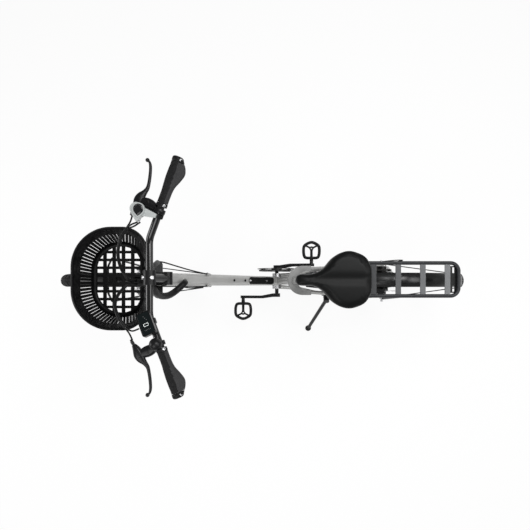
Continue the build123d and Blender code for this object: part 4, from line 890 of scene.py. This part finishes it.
def make_gear_window():
    """The shifter's drop-shaped window in a silver rim, with a scale on it."""
    axis, point = (ahead * x + left * y + up * z for x, y, z in (WINDOW_AXIS, WINDOW_POINT))
    place = frame_at(bike(*WINDOW_PLACE), axis, point)
    bm = bmesh.new()
    for mark, rows in enumerate((WINDOW_RIM, WINDOW_DOME)):
        skin(bm, [drop_loop(place, *row) for row in rows], mark=mark)
    for i in range(SCALE_COUNT):
        turn = Matrix.Rotation(radians(SCALE_FIRST + i * SCALE_STEP), 4, "Z")
        # The scale's marks glow faintly, which is painted glow, as the window has no lamp behind it
        plate(bm, place @ turn @ Matrix.Translation((SCALE_R, 0, 0)), *SCALE_MARK, mark=2)
    piece("gear_window", bm, "steering", "black_plastic", "shifter_silver", "window", "faint_glow_mark")


# Basket: a thin tub with pairs of slots round its wall, each pair joined at its top, and a floor of square holes
BASKET_FLOOR_Z = 0.745
BASKET_DEPTH = 0.19
# Columns: front, rear, half width, front corners, rear corners
BASKET_FLOOR = (0.697, 0.508, 0.135, 0.104, 0.08)
BASKET_RIM = (0.694, 0.452, 0.165, 0.127, 0.078)
BASKET_WALL = 0.0024
SLOT_PAIRS = 36
SLOT_LOW = 0.018
SLOT_HIGH = 0.124
SLOT_JOIN = 0.0026
SLOT_EDGES = (-0.0064, -0.0045, 0.0, 0.0045, 0.0064)
HOLE_SIZE = (0.021, 0.019)
HOLE_PITCH = (0.0346, 0.0293)
HOLE_MARGIN = 0.012
HOLE_ROWS = range(-2, 3)
HOLE_FILES = range(-4, 5)
HOLE_MERGE = 0.0004
EDGE_STEPS = 8
# Columns: height over the floor, inset from the tub's outside
BASKET_ROWS = (
    (0.0, 0.01), (0.0012, 0.0052), (0.0045, 0.0014), (0.01, 0.0), (SLOT_LOW, 0.0), (SLOT_HIGH - SLOT_JOIN, 0.0),
    (SLOT_HIGH, 0.0), (0.15, 0.0), (0.176, 0.0), (0.185, -0.0006), (0.1888, -0.0028), (0.19, -0.0058),
    (0.1884, -0.0076), (0.184, -0.0082), (0.178, -0.0082),
)


def basket_sides(height, inset):
    """The runs of a level section of the basket: four sides and four corners, from the middle of its front."""
    share = height / BASKET_DEPTH
    front, rear, half, nose, tail = (a + (b - a) * share for a, b in zip(BASKET_FLOOR, BASKET_RIM))
    front, rear, half, nose, tail = front - inset, rear + inset, half - inset, nose - inset, tail - inset
    return (
        ((front, nose - half), (front, half - nose)),
        ((front - nose, half - nose), nose, 0),
        ((front - nose, half), (rear + tail, half)),
        ((rear + tail, half - tail), tail, 1),
        ((rear, half - tail), (rear, tail - half)),
        ((rear + tail, tail - half), tail, 2),
        ((rear + tail, -half), (front - nose, -half)),
        ((front - nose, nose - half), nose, 3),
    )


def basket_point(run, share):
    """A point at a share of a run, as X and Y of the upright bicycle."""
    if len(run) == 2:
        return run[0][0] + (run[1][0] - run[0][0]) * share, run[0][1] + (run[1][1] - run[0][1]) * share
    angle = pi / 2 * (run[2] + share)
    return run[0][0] + run[1] * cos(angle), run[0][1] + run[1] * sin(angle)


def run_length(run):
    if len(run) == 2:
        return abs(run[1][0] - run[0][0]) + abs(run[1][1] - run[0][1])
    return run[1] * pi / 2


def basket_columns():
    """Run, share along it and whether a slot or a pair's tongue follows, for every column round the wall."""
    lengths = [run_length(run) for run in basket_sides((SLOT_LOW + SLOT_HIGH) / 2, 0)]
    total = sum(lengths)
    columns = []
    for pair in range(SLOT_PAIRS):
        middle = (pair + 0.5) / SLOT_PAIRS * total
        edges = [middle + edge for edge in SLOT_EDGES] + [(pair + 1) / SLOT_PAIRS * total]
        for place, kind in zip(edges, ("slot", "tongue", "tongue", "slot", "wall", "wall")):
            number = 0
            while place > lengths[number] and number < len(lengths) - 1:
                place -= lengths[number]
                number += 1
            columns.append((number, place / lengths[number], kind))
    return columns


def turns(a, b, point):
    """Above zero where a point lies left of the line from a to b."""
    return (b[0] - a[0]) * (point[1] - a[1]) - (b[1] - a[1]) * (point[0] - a[0])


def clipped(shape, edge):
    """What of a flat shape lies inside a convex edge that turns left."""
    for a, b in zip(edge, edge[1:] + edge[:1]):
        kept = []
        sides = [turns(a, b, point) for point in shape]
        for i, (x, y) in enumerate(shape):
            (px, py), was, now = shape[i - 1], sides[i - 1], sides[i]
            if (was < 0) != (now < 0):
                part = was / (was - now)
                kept.append((px + (x - px) * part, py + (y - py) * part))
            if now >= 0:
                kept.append((x, y))
        shape = kept
        if len(shape) < 3:
            return []
    return shape


def within(shape, point):
    """Whether a point lies in a convex shape that turns left."""
    return all(turns(a, b, point) > 0 for a, b in zip(shape, shape[1:] + shape[:1]))


def floor_holes():
    """The floor's square holes, cut off by a margin inside its edge."""
    edge = [basket_point(run, k / EDGE_STEPS) for run in basket_sides(0, HOLE_MARGIN) for k in range(EDGE_STEPS)]
    middle = (BASKET_FLOOR[0] + BASKET_FLOOR[1]) / 2
    holes = []
    for i in HOLE_ROWS:
        for j in HOLE_FILES:
            x, y = middle + i * HOLE_PITCH[0], j * HOLE_PITCH[1]
            wide, long = HOLE_SIZE[0] / 2, HOLE_SIZE[1] / 2
            square = [(x - wide, y - long), (x + wide, y - long), (x + wide, y + long), (x - wide, y + long)]
            hole = clipped(square, edge)
            apart = [p for k, p in enumerate(hole) if (Vector(p) - Vector(hole[k - 1])).length > HOLE_MERGE]
            if len(apart) > 2:
                holes.append(apart)
    return holes


def fill_floor(bm, rim, holes):
    """Fills the floor inside the wall's lowest row, round its holes."""
    corners = list(rim)
    loops = [list(range(len(rim)))]
    for hole in holes:
        loops.append(list(range(len(corners), len(corners) + len(hole))))
        corners += [bm.verts.new(bike(x, y, BASKET_FLOOR_Z)) for x, y in hole]
    flat = [to_bike(vertex.co).xy for vertex in corners]
    edges = [(loop[k - 1], loop[k]) for loop in loops for k in range(len(loop))]
    places, _, faces, origins, _, _ = delaunay_2d_cdt(flat, edges, [], 1, 0.00001)
    for face in faces:
        middle = sum((places[k] for k in face), Vector((0, 0))) / len(face)
        if not any(within(hole, middle) for hole in holes):
            bm.faces.new([corners[origins[k][0]] for k in face])


def make_basket():
    bm = bmesh.new()
    columns = basket_columns()
    rows = []
    for height, inset in BASKET_ROWS:
        sides = basket_sides(height, inset)
        flat = [basket_point(sides[number], share) for number, share, _ in columns]
        rows.append([bm.verts.new(bike(x, y, BASKET_FLOOR_Z + height)) for x, y in flat])
    for low, high, (height, _) in zip(rows, rows[1:], BASKET_ROWS):
        for i, (_, _, kind) in enumerate(columns):
            j = (i + 1) % len(columns)
            open_slot = kind == "slot" and SLOT_LOW <= height < SLOT_HIGH
            open_join = kind == "tongue" and SLOT_HIGH - SLOT_JOIN <= height < SLOT_HIGH
            if not (open_slot or open_join):
                bm.faces.new((low[i], low[j], high[j], high[i]))
    fill_floor(bm, rows[0], floor_holes())
    tub = piece("basket_tub", bm, None, "basket_plastic")
    thick = tub.modifiers.new("thick", "SOLIDIFY")
    thick.thickness = BASKET_WALL
    thick.offset = -1
    applied(tub).set_sharp_from_angle(angle=radians(SHARP_ANGLE))
    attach(tub, "steering")
    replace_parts(tub, "basket")


def mark_faces(node, extra, chosen):
    """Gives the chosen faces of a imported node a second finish."""
    mesh = nodes[node].data
    mesh.materials.append(materials[extra])
    index = len(mesh.materials) - 1
    for face in mesh.polygons:
        if chosen(to_bike(face.center), face.normal):
            face.material_index = index


# Brake levers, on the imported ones' places. Columns: ahead, outward, half width, half height
LEVER_BLADE = (
    (0.4030, 0.3470, 0.0036, 0.0042),
    (0.3968, 0.3405, 0.0036, 0.0042),
    (0.3942, 0.3290, 0.0042, 0.0046),
    (0.3944, 0.3140, 0.0044, 0.0048),
    (0.3963, 0.2950, 0.0046, 0.0050),
    (0.3993, 0.2763, 0.0048, 0.0052),
    (0.4032, 0.2632, 0.0056, 0.0060),
    (0.4114, 0.2520, 0.0076, 0.0075),
    (0.4210, 0.2410, 0.0125, 0.0100),
    (0.4280, 0.2290, 0.0148, 0.0115),
    (0.4350, 0.2126, 0.0115, 0.0105),
    (0.4440, 0.1985, 0.0056, 0.0070),
)
LEVER_BODY = (
    (0.4250, 0.2270, 0.0120, 0.0100),
    (0.4077, 0.2200, 0.0165, 0.0112),
    (0.3946, 0.2140, 0.0165, 0.0116),
    (0.3815, 0.2050, 0.0135, 0.0125),
    (0.3690, 0.1960, 0.0110, 0.0140),
)
LEVER_Z = 1.0975
LEVER_ADJUSTER = (0.453, 0.1835)
LEVER_CLAMP_BACK = 0.006
# Columns: radius, place along the bar
LEVER_CLAMP = (
    (0.0125, -0.007), (0.0162, -0.0066), (0.017, -0.0052), (0.017, 0.0052), (0.0162, 0.0066), (0.0125, 0.007),
)
LEVER_BALL_R = 0.0062
# Columns: ahead, outward, rise
LEVER_BOLTS = ((0.4235, 0.237, 0.0104), (0.4, 0.2215, 0.0108))
LEVER_BOLT = (0.0042, 0.0018)
BLADE_STEPS = 66
BODY_STEPS = 24
BOX_POINTS = 16
# The adjuster's barrel, columns radius and height: its foot, one of its ridges and its neck
BARREL_FOOT = ((0.0038, -0.003), (0.0038, 0.001))
BARREL_RIDGE = ((0.0052, 0.0015), (0.0052, 0.0031), (0.0047, 0.0035))
BARREL_NECK = (0.0036, 0.0125)
BARREL_TIP_R = 0.003
RIDGE_COUNT = 4
RIDGE_PITCH = 0.0026


def boxy(angle, power=0.7):
    """A point of a rounded box, each way between -1 and 1."""
    across, rise = cos(angle), sin(angle)
    return abs(across) ** power * (1 if across > 0 else -1), abs(rise) ** power * (1 if rise > 0 else -1)


def swept(bm, rows, steps, place):
    """A solid swept along a flat curve, its half width and height from a table; place gives a point's spot."""
    table = [(i / (len(rows) - 1), *row) for i, row in enumerate(rows)]
    stations = [eased(table, k / steps) for k in range(steps + 1)]
    loops = []
    for k, (x, y, wide, tall) in enumerate(stations):
        before, after = stations[max(0, k - 1)], stations[min(steps, k + 1)]
        run = Vector((after[0] - before[0], after[1] - before[1])).normalized()
        loop = []
        for angle in full_turn(BOX_POINTS):
            across, rise = boxy(angle)
            loop.append(place(x - run.y * wide * across, y + run.x * wide * across, tall * rise))
        loops.append(loop)
    skin(bm, loops)


def make_lever(word, side):
    """A brake lever: hooked blade with a ball tip, rounded body, bar clamp, cable adjuster and pivot bolts."""
    def spot(x, y, rise):
        return bike(x, side * y, LEVER_Z + rise)

    bm = bmesh.new()
    swept(bm, LEVER_BLADE, BLADE_STEPS, spot)
    swept(bm, LEVER_BODY, BODY_STEPS, spot)
    angles = [radians(angle) for angle in range(12, 180, 12)]
    ball = [(LEVER_BALL_R * sin(angle), -LEVER_BALL_R * cos(angle)) for angle in angles]
    turned(bm, frame_at(spot(*LEVER_BLADE[0][:2], 0), up), ball, 20)
    axis = grip_axes(side)[0]
    turned(bm, frame_at(side_point(GRIP_INNER, side) - axis * LEVER_CLAMP_BACK, axis), LEVER_CLAMP, 32)
    root = spot(*LEVER_BLADE[-1][:2], 0)
    run = spot(*LEVER_ADJUSTER, 0) - root
    barrel = list(BARREL_FOOT)
    for k in range(RIDGE_COUNT):
        barrel += [(radius, height + RIDGE_PITCH * k) for radius, height in BARREL_RIDGE]
    barrel += [BARREL_NECK, (BARREL_TIP_R, run.length)]
    turned(bm, frame_at(root, run), barrel, 20)
    for place in LEVER_BOLTS:
        socket_bolt(bm, frame_at(spot(*place), up), *LEVER_BOLT, mark=1)
    lever = piece(f"lever_{word}", bm, "steering", "lever_paint", "lever_paint", "chain_steel")
    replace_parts(lever, f"brake_lever_{word}")


# Pedals. Columns: aside, outward from the inner edge; half of the ring's middle line
PEDAL_RING = (
    (0.0, 0.006), (0.024, 0.0066), (0.0335, 0.0145), (0.037, 0.037), (0.034, 0.061), (0.018, 0.0735), (0.0, 0.079),
)
PEDAL_INNER = 0.102
PEDAL_BAR = (0.0068, 0.009)
PEDAL_BOX = 0.6
PEDAL_STEPS = 8
# Columns: aside, outward, half width, half height
PEDAL_ARM = (
    (0.003, 0.05, 0.006, 0.006), (0.011, 0.0555, 0.0044, 0.005),
    (0.022, 0.061, 0.0044, 0.005), (0.031, 0.0655, 0.0055, 0.006),
)
ARM_STEPS = 12
# Columns: radius, height
PEDAL_PIN = ((0.0018, 0), (0.0018, 0.0026), (0.001, 0.003))
PIN_SUNK = 0.001
PEDAL_BOSS = 0.051
BOSS_PROFILE = (
    (0.0036, -0.0075), (0.0088, -0.0075), (0.0095, -0.0062), (0.0095, 0.0062), (0.0088, 0.0075), (0.0036, 0.0075),
)
PEDAL_SLEEVE = (
    (0.0085, -0.0085), (0.0085, 0.004), (0.0065, 0.01), (0.006, 0.036), (0.007, 0.044),
    (0.0065, PEDAL_BOSS - 0.0065),
)


def curve_point(a, b, c, d, part):
    """A point between the middle two of four points, on a smooth curve through them, and the curve's direction."""
    bend, twist = 2 * a - 5 * b + 4 * c - d, 3 * b - a - 3 * c + d
    run = c - a + 2 * bend * part + 3 * twist * part**2
    return (2 * b + (c - a) * part + bend * part**2 + twist * part**3) / 2, run.normalized()


def make_pedal(word, side):
    """A cage pedal: a rounded ring with grip pins, a Y-shaped web, a round boss and the sleeve on its spindle."""
    middle = to_bike(joints[f"{word}_pedal_turn"]["pos_m"])

    def spot(aside, out, rise):
        return bike(middle.x + aside, side * (PEDAL_INNER + out), middle.z + rise)

    bm = bmesh.new()
    points = list(PEDAL_RING) + [(-x, y) for x, y in reversed(PEDAL_RING[1:-1])]
    loops = []
    for k in range(len(points)):
        corners = [Vector(points[(k + step) % len(points)]) for step in (-1, 0, 1, 2)]
        for i in range(PEDAL_STEPS):
            line, run = curve_point(*corners, i / PEDAL_STEPS)
            loop = []
            for angle in full_turn(BOX_POINTS):
                across, rise = boxy(angle, PEDAL_BOX)
                wide = PEDAL_BAR[0] * across
                loop.append(spot(line.x - run.y * wide, line.y + run.x * wide, PEDAL_BAR[1] * rise))
            loops.append(loop)
    skin(bm, loops, around=True)
    for flip in (1, -1):
        swept(bm, [(flip * x, *rest) for x, *rest in PEDAL_ARM], ARM_STEPS, spot)
        for x, y in points:
            turned(bm, frame_at(spot(x, y, flip * (PEDAL_BAR[1] - PIN_SUNK)), up * flip), PEDAL_PIN, 8)
    base = frame_at(spot(0, PEDAL_BOSS, 0), up)
    skin(bm, [ring(base, radius, height) for radius, height in BOSS_PROFILE], around=True)
    turned(bm, frame_at(spot(0, 0, 0), left * side), PEDAL_SLEEVE)
    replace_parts(piece(f"cage_{word}", bm, f"pedal_{word}", "pedal_black"), f"pedal_{word}")


# Plugs: their profile, and where the ray that finds the tube's face starts from a boss, beside its hole
PLUG = ((0.0022, -0.004), (0.0022, 0), (0.0052, 0.0002), (0.0052, 0.0012), (0.004, 0.0022), (0.0012, 0.0025))
PLUG_ASIDE = 0.004
PLUG_ABOVE = 0.05


def make_plugs():
    """Black plugs in the two bottle bosses of the main tube."""
    bm = bmesh.new()
    for mount in frame["record"]["mounts"]:
        if mount["name"].startswith("bottle_boss"):
            foot, axis = Vector(mount["pos_m"]), Vector(mount["axis"])
            spot, _ = landing("main_tube", foot + left * PLUG_ASIDE + axis * PLUG_ABOVE, -axis)
            place = frame_at(foot + axis * (spot - foot).dot(axis), axis)
            turned(bm, place, PLUG)
    piece("boss_plugs", bm, "frame", "black_plastic")


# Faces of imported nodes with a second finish
SLAT_FIRST_X = -0.346
SLAT_PITCH = 0.091
SLAT_HALF = 0.0106
RACK_Z = 0.76
RACK_INNER_Y = 0.0545
RACK_SLACK = 0.001
TAIL_LENS_DROP = 0.012
TAIL_LENS_FACING = 0.7
HEAD_LENS_FACING = 0.97
SHIFTER_CLAMP_R = 0.0165
GUARD_TAIL_X = -0.775


def on_slat(place, normal):
    number = round((SLAT_FIRST_X - place.x) / SLAT_PITCH)
    near = abs(place.x - (SLAT_FIRST_X - number * SLAT_PITCH)) < SLAT_HALF
    return near and abs(place.y) < RACK_INNER_Y and place.z > RACK_Z - RACK_SLACK


def bar_distance(place):
    """How far a point lies from the right half of the handlebar's sloping run."""
    bend, inner = (Vector((x, -y, z)) for x, y, z in (BAR_BEND, GRIP_INNER))
    axis = (inner - bend).normalized()
    return (place - bend - axis * (place - bend).dot(axis)).length


def on_tail_lens(place, normal):
    return normal.dot(ahead) < -TAIL_LENS_FACING and place.z < RACK_Z - TAIL_LENS_DROP


def mark_nodes():
    """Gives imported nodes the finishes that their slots' own don't cover."""
    for node, name in (
        # stay_yoke takes the darker copy of the frame's paint, which is painted shade
        ("shifter", "shifter_silver"), ("handlebar", "bar_gloss"), ("stay_yoke", "yoke_painted_shade"),
        ("rear_caliper", "dark_alloy"), ("front_caliper", "dark_alloy"),
    ):
        nodes[node].data.materials[0] = materials[name]
    mark_faces("rack_deck", "slat_paint", on_slat)
    mark_faces("tail_light", "red_lens", on_tail_lens)
    mark_faces("rear_guard", "tyre", lambda place, normal: place.x < GUARD_TAIL_X)
    mark_faces("headlamp", "clear_lens", lambda place, normal: normal.dot(ahead) > HEAD_LENS_FACING)
    mark_faces("shifter", "black_plastic", lambda place, normal: bar_distance(place) < SHIFTER_CLAMP_R)


paint_slat_shade()
dress_nodes()
mark_nodes()
make_tyre("front", front_axle)
make_tyre("rear", rear_axle)
make_valve("front", front_axle, 215)
make_valve("rear", rear_axle, 140)
make_loom()
make_grips()
top_bolts()
for row in SIDE_BOLTS:
    side_bolts(*row)
make_screen()
make_gear_window()
make_saddle()
make_basket()
for make in (make_lever, make_pedal):
    make("left", 1)
    make("right", -1)
make_plugs()
make_floor()
make_world()
for row in LIGHTS:
    make_light(*row)
make_camera()

bpy.context.scene.view_settings.view_transform = "Standard"
